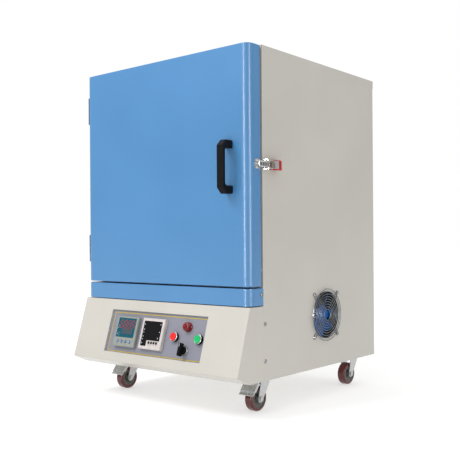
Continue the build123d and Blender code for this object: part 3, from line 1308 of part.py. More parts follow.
def caster_plate(x, y):
    """Fixed half of one castor, hung from the underside of the cabinet."""
    with BuildPart() as plate:
        with BuildSketch(Plane.XY.offset(LIFT)):
            with Locations((x, y)):
                RectangleRounded(CASTER_BOLTS[0] + 18.0, CASTER_BOLTS[1] + 18.0, 6.0)
        extrude(amount=-PLATE_THICKNESS)
        with BuildSketch(Plane.XY.offset(LIFT - PLATE_THICKNESS)):
            with Locations((x, y)):
                Circle(RACE_RADIUS)
        extrude(amount=-RACE_HEIGHT, taper=20)
        with BuildSketch(Plane.XY.offset(KING_LOW)):
            with Locations((x, y)):
                Circle(KING_RADIUS)
        extrude(amount=LIFT - KING_LOW - 1.0)
        with BuildSketch(Plane.XY.offset(KING_LOW)):
            with Locations((x, y)):
                RegularPolygon(KING_NUT[0], 6)
        extrude(amount=KING_NUT[1])
        for foot, radius, sides, length in BOLT_STEPS:
            with BuildSketch(Plane.XY.offset(foot)):
                with Locations((x, y)):
                    with GridLocations(*CASTER_BOLTS, 2, 2):
                        RegularPolygon(radius, sides)
            extrude(amount=length)
    return plate.part


with BuildPart() as caster_plates:
    for x, y in CASTER_SPOTS.values():
        add(caster_plate(x, y))
caster_plates.part.label = "caster_plates"
export_step(caster_plates.part, "parts/caster_plates.step")

# Castor fork, on its swivel axis: head, crown and two tapering legs with the axle bolt
LEG_INNER = 16.5
LEG_THICKNESS = 2.5
LEG_OUTER = LEG_INNER + LEG_THICKNESS
AXLE_RADIUS = 4.0
AXLE_BOSS = 11.0
AXLE_NUT = (7.5, 5.0)
CROWN_Y = (-24.0, 16.0)
CROWN_THICKNESS = 2.5
LEG_ROOT = 11.0
PEDAL_PIVOT = (-16.0, 81.0)
PEDAL_PIN_RADIUS = 2.5


def caster_fork(braked):
    """Swivelling fork; a braked one also carries the pin of its pedal."""
    with BuildPart() as fork:
        with BuildSketch(Plane.XY.offset(FORK_TOP_Z)):
            Circle(FORK_HEAD_RADIUS)
        extrude(amount=CROWN_Z - FORK_TOP_Z)
        bar((-LEG_OUTER, LEG_OUTER), CROWN_Y, (CROWN_Z, CROWN_Z + CROWN_THICKNESS))
        for x in (-LEG_OUTER, LEG_INNER):
            with BuildSketch(across(x)):
                with Locations((-TRAIL, WHEEL_RADIUS)):
                    Circle(AXLE_BOSS)
                with Locations((sum(CROWN_Y) / 2, CROWN_Z + CROWN_THICKNESS - LEG_ROOT / 2)):
                    Rectangle(CROWN_Y[1] - CROWN_Y[0], LEG_ROOT)
                make_hull()
            extrude(amount=LEG_THICKNESS)
        with BuildSketch(across(-LEG_OUTER - AXLE_NUT[1])):
            with Locations((-TRAIL, WHEEL_RADIUS)):
                RegularPolygon(AXLE_NUT[0], 6)
        extrude(amount=AXLE_NUT[1])
        with BuildSketch(across(LEG_OUTER)):
            with Locations((-TRAIL, WHEEL_RADIUS)):
                RegularPolygon(AXLE_NUT[0], 6)
        extrude(amount=AXLE_NUT[1])
        with BuildSketch(across(-LEG_OUTER)):
            with Locations((-TRAIL, WHEEL_RADIUS)):
                Circle(AXLE_RADIUS)
            if braked:
                with Locations(PEDAL_PIVOT):
                    Circle(PEDAL_PIN_RADIUS)
        extrude(amount=2 * LEG_OUTER)
        with BuildSketch(Plane.XY.offset(CROWN_Z)):
            Circle(KING_RADIUS + RUNNING_FIT)
        extrude(amount=FORK_TOP_Z - CROWN_Z, mode=Mode.SUBTRACT)
    return fork.part


# Castor wheel: a crowned tread on a hub with a bored boss
TREAD_INNER = 27.0
HUB_RIM = 12.5
HUB_BOSS = 9.0
HUB_BOSS_HALF = 16.2
HUB_WEB = 5.0
with BuildPart() as wheel_tread:
    with BuildSketch(Plane.XY):
        with Locations((0, (TREAD_INNER + WHEEL_RADIUS) / 2)):
            Rectangle(WHEEL_WIDTH, WHEEL_RADIUS - TREAD_INNER)
        fillet(vertices().group_by(Axis.Y)[-1], 6.0)
    revolve(axis=Axis.X)
with BuildPart() as wheel_hub:
    with BuildSketch(Plane.XY):
        Polygon(
            (-HUB_BOSS_HALF, AXLE_RADIUS + RUNNING_FIT),
            (HUB_BOSS_HALF, AXLE_RADIUS + RUNNING_FIT),
            (HUB_BOSS_HALF, HUB_BOSS),
            (HUB_WEB, HUB_BOSS + 2.0),
            (HUB_RIM, TREAD_INNER - 3.0),
            (HUB_RIM, TREAD_INNER - SEAT_FILM),
            (-HUB_RIM, TREAD_INNER - SEAT_FILM),
            (-HUB_RIM, TREAD_INNER - 3.0),
            (-HUB_WEB, HUB_BOSS + 2.0),
            (-HUB_BOSS_HALF, HUB_BOSS),
            align=None,
        )
    revolve(axis=Axis.X)

# Brake pedal: an arm on a barrel with a shoe over the wheel, and a wide bent tread plate
PEDAL_HALF = 15.0
PEDAL_BARREL = 4.2
PEDAL_THICKNESS = 2.5
ARM_PROFILE = [(-16.0, 82.7), (-54.0, 82.7)]
TREAD_HALF = 26.0
TREAD_PROFILE = [(-49.5, 92.0), (-54.5, 80.0), (-67.0, 65.5), (-68.5, 59.0), (-76.0, 54.5)]
CHEEK_DEPTH = 8.0
CHEEK_THICKNESS = 2.0
SHOE_Y = (-36.0, -31.0)
SHOE_TOP_Z = 82.7
SHOE_Z = 77.3
with BuildPart() as pedal_body:
    with BuildSketch(across(-PEDAL_HALF)):
        with BuildLine():
            Polyline(*ARM_PROFILE)
            offset(amount=PEDAL_THICKNESS, side=Side.LEFT)
        make_face()
        with Locations(PEDAL_PIVOT):
            Circle(PEDAL_BARREL)
        with Locations((sum(SHOE_Y) / 2, (SHOE_Z + SHOE_TOP_Z) / 2)):
            Rectangle(SHOE_Y[1] - SHOE_Y[0], SHOE_TOP_Z - SHOE_Z)
        with Locations(PEDAL_PIVOT):
            Circle(PEDAL_PIN_RADIUS + RUNNING_FIT, mode=Mode.SUBTRACT)
    extrude(amount=2 * PEDAL_HALF)
    with BuildSketch(across(-TREAD_HALF)):
        with BuildLine():
            Polyline(*TREAD_PROFILE)
            offset(amount=PEDAL_THICKNESS, side=Side.LEFT)
        make_face()
    extrude(amount=2 * TREAD_HALF)
    for cheek in (-TREAD_HALF, TREAD_HALF - CHEEK_THICKNESS):
        with BuildSketch(across(cheek)):
            with BuildLine():
                Polyline(*TREAD_PROFILE[:3])
                offset(amount=CHEEK_DEPTH, side=Side.LEFT)
            make_face()
        extrude(amount=CHEEK_THICKNESS)

# The four castors; the front two have pedals
for place, (x, y) in CASTER_SPOTS.items():
    braked = place.startswith("front")
    spot = (x, y, 0)
    with BuildPart() as fork:
        with Locations(spot):
            add(caster_fork(braked))
    fork.part.label = f"caster_fork_{place}"
    export_step(fork.part, f"parts/caster_fork_{place}.step")
    with BuildPart() as wheel:
        with Locations((x, y - TRAIL, WHEEL_RADIUS)):
            add(wheel_tread.part)
            add(wheel_hub.part)
    wheel.part.label = f"caster_wheel_{place}"
    export_step(wheel.part, f"parts/caster_wheel_{place}.step")
    if braked:
        with BuildPart() as pedal:
            with Locations(spot):
                add(pedal_body.part)
        pedal.part.label = f"brake_pedal_{place}"
        export_step(pedal.part, f"parts/brake_pedal_{place}.step")

# Pan-head screws of the fixed body, as one group
with BuildPart() as panel_screws:
    for side in (-1, 1):
        for y, z in SEAM_SCREWS:
            seat = Plane(origin=(side * HALF, y, z), x_dir=(0, side, 0), z_dir=(side, 0, 0))
            add(screw_at(seat, 2 * SHEET))
        seat = Plane(origin=(side * DOOR_HALF, *BAND_SCREW), x_dir=(0, side, 0), z_dir=(side, 0, 0))
        add(screw_at(seat, 2 * SHEET))
    for y, z in FAN_SCREWS:
        seat = Plane(origin=(HALF + WIRE, y, z), x_dir=(0, 1, 0), z_dir=(1, 0, 0))
        add(screw_at(seat, WIRE + SHEET + 12.0))
    for x, z in REAR_SCREWS:
        add(screw_at(Plane(origin=(-x, REAR_Y, z), x_dir=(-1, 0, 0), z_dir=(0, 1, 0)), SHEET))
    for y, z in CABINET_HINGE_SCREWS:
        seat = Plane(origin=(-HALF - LEAF, y, z), x_dir=(0, -1, 0), z_dir=(-1, 0, 0))
        add(screw_at(seat, LEAF + 2 * SHEET))
    for y, z in LATCH_SCREWS:
        seat = Plane(origin=(HALF + SHEET, y, z), x_dir=(0, 1, 0), z_dir=(1, 0, 0))
        add(screw_at(seat, 3 * SHEET))
panel_screws.part.label = "panel_screws"
export_step(panel_screws.part, "parts/panel_screws.step")
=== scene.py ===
import math

import bmesh
import bpy
from mathutils import Matrix, Vector


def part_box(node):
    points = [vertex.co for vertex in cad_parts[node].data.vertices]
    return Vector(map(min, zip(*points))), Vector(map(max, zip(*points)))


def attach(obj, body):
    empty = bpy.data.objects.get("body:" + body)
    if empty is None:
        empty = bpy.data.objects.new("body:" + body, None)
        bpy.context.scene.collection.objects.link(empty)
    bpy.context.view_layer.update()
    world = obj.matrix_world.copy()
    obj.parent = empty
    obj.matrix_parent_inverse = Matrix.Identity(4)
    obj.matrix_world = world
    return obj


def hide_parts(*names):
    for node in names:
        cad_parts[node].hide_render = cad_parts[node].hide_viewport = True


# Dresses the muffle furnace's frame: its finishes, and the pieces too fine for the frame.
# Metres, +Z up, X to the right, -Y to the front, floor at Z = 0 under the middle.

bl_info = {
    "name": "Muffle furnace",
    "version": (1, 0, 0),
    "blender": (4, 5, 0),
    "location": "View3D > Sidebar > Furnace",
    "description": "Adds the finishes and the small pieces of the furnace to its frame",
    "category": "Object",
}

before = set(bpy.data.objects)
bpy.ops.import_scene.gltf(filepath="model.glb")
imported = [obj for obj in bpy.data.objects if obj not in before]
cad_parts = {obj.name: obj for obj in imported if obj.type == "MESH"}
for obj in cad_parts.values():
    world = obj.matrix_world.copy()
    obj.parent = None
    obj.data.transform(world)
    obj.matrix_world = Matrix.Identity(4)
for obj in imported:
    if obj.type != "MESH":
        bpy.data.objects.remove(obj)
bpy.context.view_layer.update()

# Places read from the frame
BAND_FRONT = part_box("lower_front_panel")[0].y
CONSOLE_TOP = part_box("console_shell")[1].z
GUARD_LOW, GUARD_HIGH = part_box("fan_guard")
FRONT_AXLE, REAR_AXLE = (
    sum(corner.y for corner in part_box("caster_wheel_" + end)) / 2 for end in ("front_left", "rear_left")
)

# Console face: origin at the middle of its upper edge, X across, Y up the slope, Z outwards
NOSE_REACH = 0.059
NOSE_DROP = 0.190
SLOPE = math.atan2(NOSE_REACH, NOSE_DROP)
FACE = Matrix.Translation((0.0, BAND_FRONT, CONSOLE_TOP)) @ Matrix(
    (
        (1.0, 0.0, 0.0, 0.0),
        (0.0, math.sin(SLOPE), -math.cos(SLOPE), 0.0),
        (0.0, math.cos(SLOPE), math.sin(SLOPE), 0.0),
        (0.0, 0.0, 0.0, 1.0),
    )
)
RECESS_MIDDLE = (-0.0025, -0.1015)
RECESS_SIZE = (0.413, 0.136)
RECESS_DEPTH = 0.006
PLATE = FACE @ Matrix.Translation((0.0, 0.0, -RECESS_DEPTH))
BEZEL_HEIGHT = 0.012
BEZEL = PLATE @ Matrix.Translation((0.0, 0.0, BEZEL_HEIGHT))

# Middles of what sits on the control plate
CONTROLLER_AT = (-0.122, -0.102)
METER_AT = (-0.006, -0.101)
LAMP_AT = (0.131, -0.069)
STOP_AT = (0.085, -0.102)
START_AT = (0.182, -0.102)
SELECTOR_AT = (0.131, -0.139)

# Thickness of printed lines and lit segments
PRINT = 0.00012

# Keys of the left instrument
KEY_COUNT = 4
KEY_PITCH = 0.018
KEY_DROP = 0.032
KEY_PROUD = 0.0016

# Castor wheels
WHEEL_RADIUS = 0.0375
TYRE_INNER = 0.02685

# Fan guard: outer edge of its rings, their pitch, and the spacing of the screws that hold it
GUARD_RIM = 0.083
GUARD_PITCH = 0.008
GUARD_SCREW_SPACING = 0.134

# Pan head of the screws, and its cross recess: reach and half width of an arm, floor and its taper
HEAD_DIAMETER = 0.011
HEAD_HEIGHT = 0.003
CROSS_REACH = 0.0026
CROSS_HALF = 0.00055
CROSS_FLOOR = 0.0014
CROSS_TAPER = 0.55


# Node trees

def add_node(tree, kind, inputs=None, **settings):
    """Adds a node, applies its settings, and sets or links its inputs by name or index."""
    node = tree.nodes.new(kind)
    for key, value in settings.items():
        setattr(node, key, value)
    for key, value in (inputs or {}).items():
        if isinstance(value, bpy.types.NodeSocket):
            tree.links.new(value, node.inputs[key])
        else:
            node.inputs[key].default_value = value
    return node


def new_tree(name, kind, inputs, outputs):
    """A node group with the given sockets; returns it with its entry and exit nodes."""
    tree = bpy.data.node_groups.new(name, kind)
    for way, sockets in (("INPUT", inputs), ("OUTPUT", outputs)):
        for label, socket_type, value in sockets:
            socket = tree.interface.new_socket(label, in_out=way, socket_type=socket_type)
            if value is not None:
                socket.default_value = value
    entry = tree.nodes.new("NodeGroupInput")
    leave = tree.nodes.new("NodeGroupOutput")
    return tree, entry, leave


def maths(tree, operation, first, second=0.0):
    """Output holding the result of an operation on one or two values."""
    return add_node(tree, "ShaderNodeMath", {0: first, 1: second}, operation=operation).outputs[0]


def inverse(tree, size):
    """Output holding one over a size, as the scale of a texture needs."""
    return maths(tree, "DIVIDE", 1.0, size)


def noise(tree, vector, scale, detail=2.0, roughness=0.5):
    """Output holding a noise value."""
    inputs = {"Vector": vector, "Scale": scale, "Detail": detail, "Roughness": roughness}
    return add_node(tree, "ShaderNodeTexNoise", inputs).outputs[0]


def remap(tree, value, low, high, to_low, to_high):
    """Output holding a value moved from one range to another, and clamped to it."""
    inputs = {0: value, 1: low, 2: high, 3: to_low, 4: to_high}
    return add_node(tree, "ShaderNodeMapRange", inputs).outputs[0]


def blend(tree, factor, first, second):
    """Output holding a mix of two colours."""
    inputs = {0: factor, 6: first, 7: second}
    return add_node(tree, "ShaderNodeMix", inputs, data_type="RGBA").outputs[2]


def effect_tree(name, sizes, results):
    """Group of a shared effect: a vector and the given sizes in, the named numbers out."""
    inputs = [("Vector", "NodeSocketVector", None)]
    inputs += [(label, "NodeSocketFloat", value) for label, value in sizes.items()]
    outputs = [(label, "NodeSocketFloat", None) for label in results]
    return new_tree(name, "ShaderNodeTree", inputs, outputs)


def powder_group():
    """Orange-peel relief of a powder coat, with a slow drift of its tone."""
    sizes = {"Grain": 0.0016, "Drift": 0.3}
    tree, entry, leave = effect_tree("Powder coat", sizes, ("Height", "Tone"))
    vector = entry.outputs["Vector"]
    fine = noise(tree, vector, inverse(tree, entry.outputs["Grain"]), 1.5)
    slow = noise(tree, vector, inverse(tree, entry.outputs["Drift"]), 2.0)
    tree.links.new(remap(tree, fine, 0.3, 0.7, 0.0, 1.0), leave.inputs["Height"])
    tree.links.new(remap(tree, slow, 0.3, 0.7, 0.0, 1.0), leave.inputs["Tone"])
    return tree


def brushed_group():
    """Fine parallel streaks of rolled or brushed sheet, with blotches between them."""
    sizes = {"Width": 0.0007, "Blotch": 0.05}
    tree, entry, leave = effect_tree("Brushed streaks", sizes, ("Height", "Blotches"))
    vector = entry.outputs["Vector"]
    stretch = add_node(tree, "ShaderNodeMapping", {"Vector": vector, "Scale": (0.03, 1.0, 1.0)})
    streaks = noise(tree, stretch.outputs[0], inverse(tree, entry.outputs["Width"]), 2.0)
    patches = noise(tree, vector, inverse(tree, entry.outputs["Blotch"]), 3.0, 0.6)
    tree.links.new(streaks, leave.inputs["Height"])
    tree.links.new(remap(tree, patches, 0.35, 0.65, 0.0, 1.0), leave.inputs["Blotches"])
    return tree


def grain_group():
    """Fine grain of moulded plastic and cast skin, with a slow mottle."""
    sizes = {"Grain": 0.0008, "Mottle": 0.02}
    tree, entry, leave = effect_tree("Moulded grain", sizes, ("Height", "Mottle"))
    vector = entry.outputs["Vector"]
    scale = inverse(tree, entry.outputs["Grain"])
    cells = add_node(tree, "ShaderNodeTexVoronoi", {"Vector": vector, "Scale": scale})
    slow = noise(tree, vector, inverse(tree, entry.outputs["Mottle"]), 3.0)
    tree.links.new(cells.outputs["Distance"], leave.inputs["Height"])
    tree.links.new(remap(tree, slow, 0.3, 0.7, 0.0, 1.0), leave.inputs["Mottle"])
    return tree


def fibre_group():
    """Matted short fibres of insulation board, with scattered darker specks."""
    tree, entry, leave = effect_tree("Matted fibres", {"Fibre": 0.004}, ("Height", "Specks", "Stain"))
    vector = entry.outputs["Vector"]
    scale = inverse(tree, entry.outputs["Fibre"])
    bend = noise(tree, vector, scale, 4.0, 0.7)
    strands = add_node(
        tree, "ShaderNodeTexWave", {"Vector": vector, "Scale": 60.0, "Distortion": 22.0, "Detail": 3.0},
    )
    specks = noise(tree, vector, 420.0, 1.0)
    stain = noise(tree, vector, 9.0, 3.0)
    tree.links.new(maths(tree, "ADD", bend, strands.outputs["Fac"]), leave.inputs["Height"])
    tree.links.new(remap(tree, specks, 0.66, 0.74, 0.0, 1.0), leave.inputs["Specks"])
    tree.links.new(remap(tree, stain, 0.4, 0.7, 0.0, 1.0), leave.inputs["Stain"])
    return tree


GROUPS = {}


def effect(tree, maker, **sizes):
    """Places a shared effect in a material, reading the object's own coordinates."""
    if maker not in GROUPS:
        GROUPS[maker] = maker()
    place = add_node(tree, "ShaderNodeTexCoord")
    node = add_node(tree, "ShaderNodeGroup", node_tree=GROUPS[maker])
    tree.links.new(place.outputs["Object"], node.inputs["Vector"])
    for label, value in sizes.items():
        node.inputs[label].default_value = value
    return node


def new_material(name, colour, roughness, metallic=0.0, **constants):
    """A Principled material; returns it with its tree and shader."""
    material = bpy.data.materials.new(name)
    material.use_nodes = True
    shader = material.node_tree.nodes["Principled BSDF"]
    shader.inputs["Base Color"].default_value = (*colour, 1.0)
    shader.inputs["Roughness"].default_value = roughness
    shader.inputs["Metallic"].default_value = metallic
    for label, value in constants.items():
        shader.inputs[label.replace("_", " ")].default_value = value
    return material, material.node_tree, shader


def relief(tree, shader, height, distance, strength=1.0):
    """Feeds a height into the shader's normal."""
    inputs = {"Height": height, "Distance": distance, "Strength": strength}
    bump = add_node(tree, "ShaderNodeBump", inputs)
    tree.links.new(bump.outputs["Normal"], shader.inputs["Normal"])


def vary(tree, shader, mask, dark, light, smooth, rough):
    """Runs the shader's colour and roughness between two values along a mask."""
    colour = blend(tree, mask, (*dark, 1.0), (*light, 1.0))
    tree.links.new(colour, shader.inputs["Base Color"])
    tree.links.new(remap(tree, mask, 0.0, 1.0, smooth, rough), shader.inputs["Roughness"])


def scaled(colour, factor):
    return tuple(channel * factor for channel in colour[:3])


def skinned(name, colour, roughness, maker, sizes, mask, tones, spread, depth, strength=1.0, **constants):
    """A material whose tone, roughness and relief follow a shared effect."""
    material, tree, shader = new_material(name, colour, roughness, **constants)
    skin = effect(tree, maker, **sizes)
    dark, light = (scaled(colour, tone) for tone in tones)
    smooth, rough = (roughness + shift for shift in spread)
    vary(tree, shader, skin.outputs[mask], dark, light, smooth, rough)
    relief(tree, shader, skin.outputs["Height"], depth, strength)
    return material


def powder_coat(name, colour, grain, depth, roughness):
    return skinned(
        name, colour, roughness, powder_group, {"Grain": grain}, "Tone",
        (0.96, 1.03), (-0.03, 0.05), depth, Coat_Weight=0.45, Coat_Roughness=0.2,
    )


def sheet_metal(name, colour, roughness):
    return skinned(
        name, colour, roughness, brushed_group, {"Width": 0.0007}, "Blotches",
        (0.94, 1.0), (-0.02, 0.03), 0.00008, 0.6, metallic=1.0,
    )


def plated(name, colour, roughness):
    return skinned(
        name, colour, roughness, grain_group, {"Grain": 0.0012, "Mottle": 0.015}, "Mottle",
        (0.9, 1.0), (0.0, 0.1), 0.00002, 0.5, metallic=1.0,
    )


def moulded(name, colour, roughness, **constants):
    return skinned(
        name, colour, roughness, grain_group, {"Grain": 0.0008}, "Mottle",
        (0.88, 1.06), (-0.04, 0.06), 0.00004, **constants,
    )


def board(name, colour, depth=0.0006):
    material, tree, shader = new_material(name, colour, 0.95)
    skin = effect(tree, fibre_group)
    stained = blend(tree, skin.outputs["Stain"], (*colour, 1.0), (*scaled(colour, 0.86), 1.0))
    specked = blend(tree, skin.outputs["Specks"], stained, (*scaled(colour, 0.55), 1.0))
    tree.links.new(specked, shader.inputs["Base Color"])
    relief(tree, shader, skin.outputs["Height"], depth)
    return material


def oxidised_alloy():
    """Heating strip: dark scale with straw and blue patches."""
    colour = (0.13, 0.10, 0.085)
    material, tree, shader = new_material("Oxidised alloy", colour, 0.6, 0.75)
    skin = effect(tree, brushed_group, Width=0.0012, Blotch=0.02)
    vary(tree, shader, skin.outputs["Blotches"], (0.07, 0.06, 0.07), (0.24, 0.17, 0.11), 0.45, 0.75)
    relief(tree, shader, skin.outputs["Height"], 0.0002)
    return material


def window_material():
    """Glossy windows: teal on the left instrument, black on the right one."""
    material, tree, shader = new_material(
        "Instrument windows", (0.01, 0.01, 0.012), 0.12, Specular_IOR_Level=0.15,
    )
    place = add_node(tree, "ShaderNodeTexCoord")
    split = add_node(tree, "ShaderNodeSeparateXYZ", {0: place.outputs["Object"]})
    left = maths(tree, "LESS_THAN", split.outputs["X"], (CONTROLLER_AT[0] + METER_AT[0]) / 2)
    smear = noise(tree, place.outputs["Object"], 90.0, 3.0)
    teal = blend(tree, smear, (0.006, 0.075, 0.115, 1.0), (0.010, 0.105, 0.145, 1.0))
    colour = blend(tree, left, (0.005, 0.005, 0.006, 1.0), teal)
    tree.links.new(colour, shader.inputs["Base Color"])
    tree.links.new(remap(tree, smear, 0.3, 0.7, 0.10, 0.2), shader.inputs["Roughness"])
    return material


def glowing(name, colour, strength):
    """Lit segments behind a filter."""
    material, tree, shader = new_material(name, colour, 0.4)
    place = add_node(tree, "ShaderNodeTexCoord")
    flicker = noise(tree, place.outputs["Object"], 400.0, 1.0)
    lit = blend(tree, flicker, (*scaled(colour, 0.75), 1.0), (*colour, 1.0))
    tree.links.new(lit, shader.inputs["Base Color"])
    tree.links.new(lit, shader.inputs["Emission Color"])
    shader.inputs["Emission Strength"].default_value = strength
    return material


def lens_material():
    """Deep red ribbed lens, clear enough to glow at its edges."""
    colour = (0.25, 0.004, 0.006)
    material, tree, shader = new_material(
        "Lamp lens", colour, 0.12, Coat_Weight=0.3, Coat_Roughness=0.05, Specular_IOR_Level=0.3,
    )
    skin = effect(tree, grain_group, Grain=0.003)
    vary(tree, shader, skin.outputs["Mottle"], scaled(colour, 0.55), colour, 0.08, 0.16)
    return material


def wheel_material():
    """Cast wheels: dark red tyre round a grey hub, told apart by the distance from the axle."""
    material, tree, shader = new_material("Castor wheel", (0.2, 0.01, 0.012), 0.25, Coat_Weight=0.4)
    place = add_node(tree, "ShaderNodeTexCoord")
    spot = add_node(tree, "ShaderNodeSeparateXYZ", {0: place.outputs["Object"]})
    middle = maths(tree, "SUBTRACT", spot.outputs["Y"], (FRONT_AXLE + REAR_AXLE) / 2)
    folded = maths(tree, "ABSOLUTE", middle)
    ahead = maths(tree, "SUBTRACT", folded, (REAR_AXLE - FRONT_AXLE) / 2)
    above = maths(tree, "SUBTRACT", spot.outputs["Z"], WHEEL_RADIUS)
    flat = add_node(tree, "ShaderNodeCombineXYZ", {"X": ahead, "Y": above})
    distance = add_node(tree, "ShaderNodeVectorMath", {0: flat.outputs[0]}, operation="LENGTH")
    tyre = maths(tree, "GREATER_THAN", distance.outputs["Value"], TYRE_INNER)
    mottle = noise(tree, place.outputs["Object"], 60.0, 3.0)
    red = blend(tree, mottle, (0.070, 0.001, 0.003, 1.0), (0.110, 0.002, 0.004, 1.0))
    grey = blend(tree, mottle, (0.075, 0.085, 0.075, 1.0), (0.13, 0.14, 0.125, 1.0))
    tree.links.new(blend(tree, tyre, grey, red), shader.inputs["Base Color"])
    tree.links.new(remap(tree, tyre, 0.0, 1.0, 0.5, 0.22), shader.inputs["Roughness"])
    relief(tree, shader, noise(tree, place.outputs["Object"], 900.0, 1.0), 0.00004)
    return material


# Mesh making

def turned(bm, profile, place, segments=48, ribs=0, depth=0.0):
    """Turns a profile of (radius, height) round the Z axis of a place, with ribs if asked."""
    rings = []
    for radius, height in profile:
        if radius == 0.0:
            rings.append([bm.verts.new(place @ Vector((0.0, 0.0, height)))])
            continue
        ring = []
        for step in range(segments):
            angle = math.tau * step / segments
            reach = radius * (1.0 + depth * math.cos(ribs * angle))
            point = Vector((reach * math.cos(angle), reach * math.sin(angle), height))
            ring.append(bm.verts.new(place @ point))
        rings.append(ring)
    for lower, upper in zip(rings, rings[1:]):
        for step in range(segments):
            after = (step + 1) % segments
            corners = (
                lower[step % len(lower)],
                lower[after % len(lower)],
                upper[after % len(upper)],
                upper[step % len(upper)],
            )
            corners = list(dict.fromkeys(corners))
            if len(corners) > 2:
                bm.faces.new(corners)


def prism(bm, outline, low, high, place):
    """Raises a flat outline of (x, y) between two heights of a place."""
    below = [bm.verts.new(place @ Vector((x, y, low))) for x, y in outline]
    above = [bm.verts.new(place @ Vector((x, y, high))) for x, y in outline]
    bm.faces.new(list(reversed(below)))
    bm.faces.new(above)
    count = len(outline)
    for step in range(count):
        after = (step + 1) % count
        bm.faces.new((below[step], below[after], above[after], above[step]))


def hollow_prism(bm, outer, inner, low, high, place):
    """Raises the band between two outlines with as many points."""
    loops = [
        [bm.verts.new(place @ Vector((x, y, height))) for x, y in outline]
        for outline, height in ((outer, low), (outer, high), (inner, high), (inner, low))
    ]
    count = len(outer)
    for first, second in zip(loops, loops[1:] + loops[:1]):
        for step in range(count):
            after = (step + 1) % count
            bm.faces.new((first[step], first[after], second[after], second[step]))


def rounded(width, height, radius, middle=(0.0, 0.0), steps=6):
    """Outline of a rectangle with rounded corners."""
    points = []
    quarter = math.pi / 2
    corners = ((1, 1, 0), (-1, 1, 1), (-1, -1, 2), (1, -1, 3))
    for side_x, side_y, turn in corners:
        centre_x = middle[0] + side_x * (width / 2 - radius)
        centre_y = middle[1] + side_y * (height / 2 - radius)
        for step in range(steps + 1):
            angle = quarter * (turn + step / steps)
            points.append((centre_x + radius * math.cos(angle), centre_y + radius * math.sin(angle)))
    return points


def add_object(name, data):
    """Adds an object to the scene."""
    added = bpy.data.objects.new(name, data)
    bpy.context.scene.collection.objects.link(added)
    return added


def as_object(name, bm, material=None):
    """Turns a bmesh into an object at the origin, its faces outwards and shaded smooth."""
    bmesh.ops.remove_doubles(bm, verts=bm.verts, dist=1e-7)
    bmesh.ops.recalc_face_normals(bm, faces=bm.faces)
    mesh = bpy.data.meshes.new(name)
    bm.to_mesh(mesh)
    bm.free()
    piece = add_object(name, mesh)
    if material:
        mesh.materials.append(FINISHES[material])
    shade(mesh)
    return piece


def turned_piece(name, finish, profile, place, segments, ribs=0, depth=0.0):
    bm = bmesh.new()
    turned(bm, profile, place, segments, ribs, depth)
    return as_object(name, bm, finish)


def raised_piece(name, finish, outline, low, high, place):
    bm = bmesh.new()
    prism(bm, outline, low, high, place)
    return as_object(name, bm, finish)


def shade(mesh, angle=35.0):
    """Smooth shading that keeps the edges sharper than an angle."""
    mesh.polygons.foreach_set("use_smooth", [True] * len(mesh.polygons))
    mesh.set_sharp_from_angle(angle=math.radians(angle))


def ease(piece, width, segments=3):
    """Rounds the sharp edges of a piece."""
    bevel = piece.modifiers.new("Eased edges", "BEVEL")
    bevel.width = width
    bevel.segments = segments
    bevel.limit_method = "ANGLE"
    bevel.angle_limit = math.radians(35.0)
    bevel.harden_normals = True


def fit(piece, body, replaced=()):
    """Ties a finished piece to its body, and hides the nodes that it stands for."""
    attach(piece, body)
    if replaced:
        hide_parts(*replaced)
    return piece


def solids(node):
    """Lowest and highest corner of each separate solid of a frame node."""
    bm = bmesh.new()
    bm.from_mesh(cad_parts[node].data)
    bmesh.ops.remove_doubles(bm, verts=bm.verts, dist=1e-5)
    left = set(bm.verts)
    boxes = []
    while left:
        reached = [left.pop()]
        corners = []
        while reached:
            vertex = reached.pop()
            corners.append(vertex.co)
            for edge in vertex.link_edges:
                other = edge.other_vert(vertex)
                if other in left:
                    left.remove(other)
                    reached.append(other)
        low = Vector([min(corner[axis] for corner in corners) for axis in range(3)])
        high = Vector([max(corner[axis] for corner in corners) for axis in range(3)])
        boxes.append((low, high))
    bm.free()
    return sorted(boxes, key=lambda pair: tuple(pair[0]))


# Trees of geometry nodes

def geometry_tree(name, inputs):
    """Geometry group with a first input and an output for the shape, and the named inputs."""
    sockets = [("Shape", "NodeSocketGeometry", None), *inputs, ("Finish", "NodeSocketMaterial", None)]
    return new_tree(name, "GeometryNodeTree", sockets, [("Shape", "NodeSocketGeometry", None)])


def close_tree(tree, entry, leave, shape):
    """Realises the instances and gives them their material."""
    real = add_node(tree, "GeometryNodeRealizeInstances", {0: shape})
    painted = add_node(
        tree, "GeometryNodeSetMaterial",
        {"Geometry": real.outputs[0], "Material": entry.outputs["Finish"]},
    )
    tree.links.new(painted.outputs[0], leave.inputs[0])
    return tree


def set_out(tree, points, shape, **inputs):
    """Output holding a copy of a shape on each point."""
    inputs.update(Points=points, Instance=shape)
    return add_node(tree, "GeometryNodeInstanceOnPoints", inputs).outputs[0]


def row_tree():
    """Copies of the shape set out along a straight row."""
    tree, entry, leave = geometry_tree(
        "Row of copies", [("Count", "NodeSocketInt", 4), ("Step", "NodeSocketVector", None)],
    )
    spacing = {"Count": entry.outputs["Count"], "Offset": entry.outputs["Step"]}
    line = add_node(tree, "GeometryNodeMeshLine", spacing)
    copies = set_out(tree, line.outputs[0], entry.outputs["Shape"])
    return close_tree(tree, entry, leave, copies)


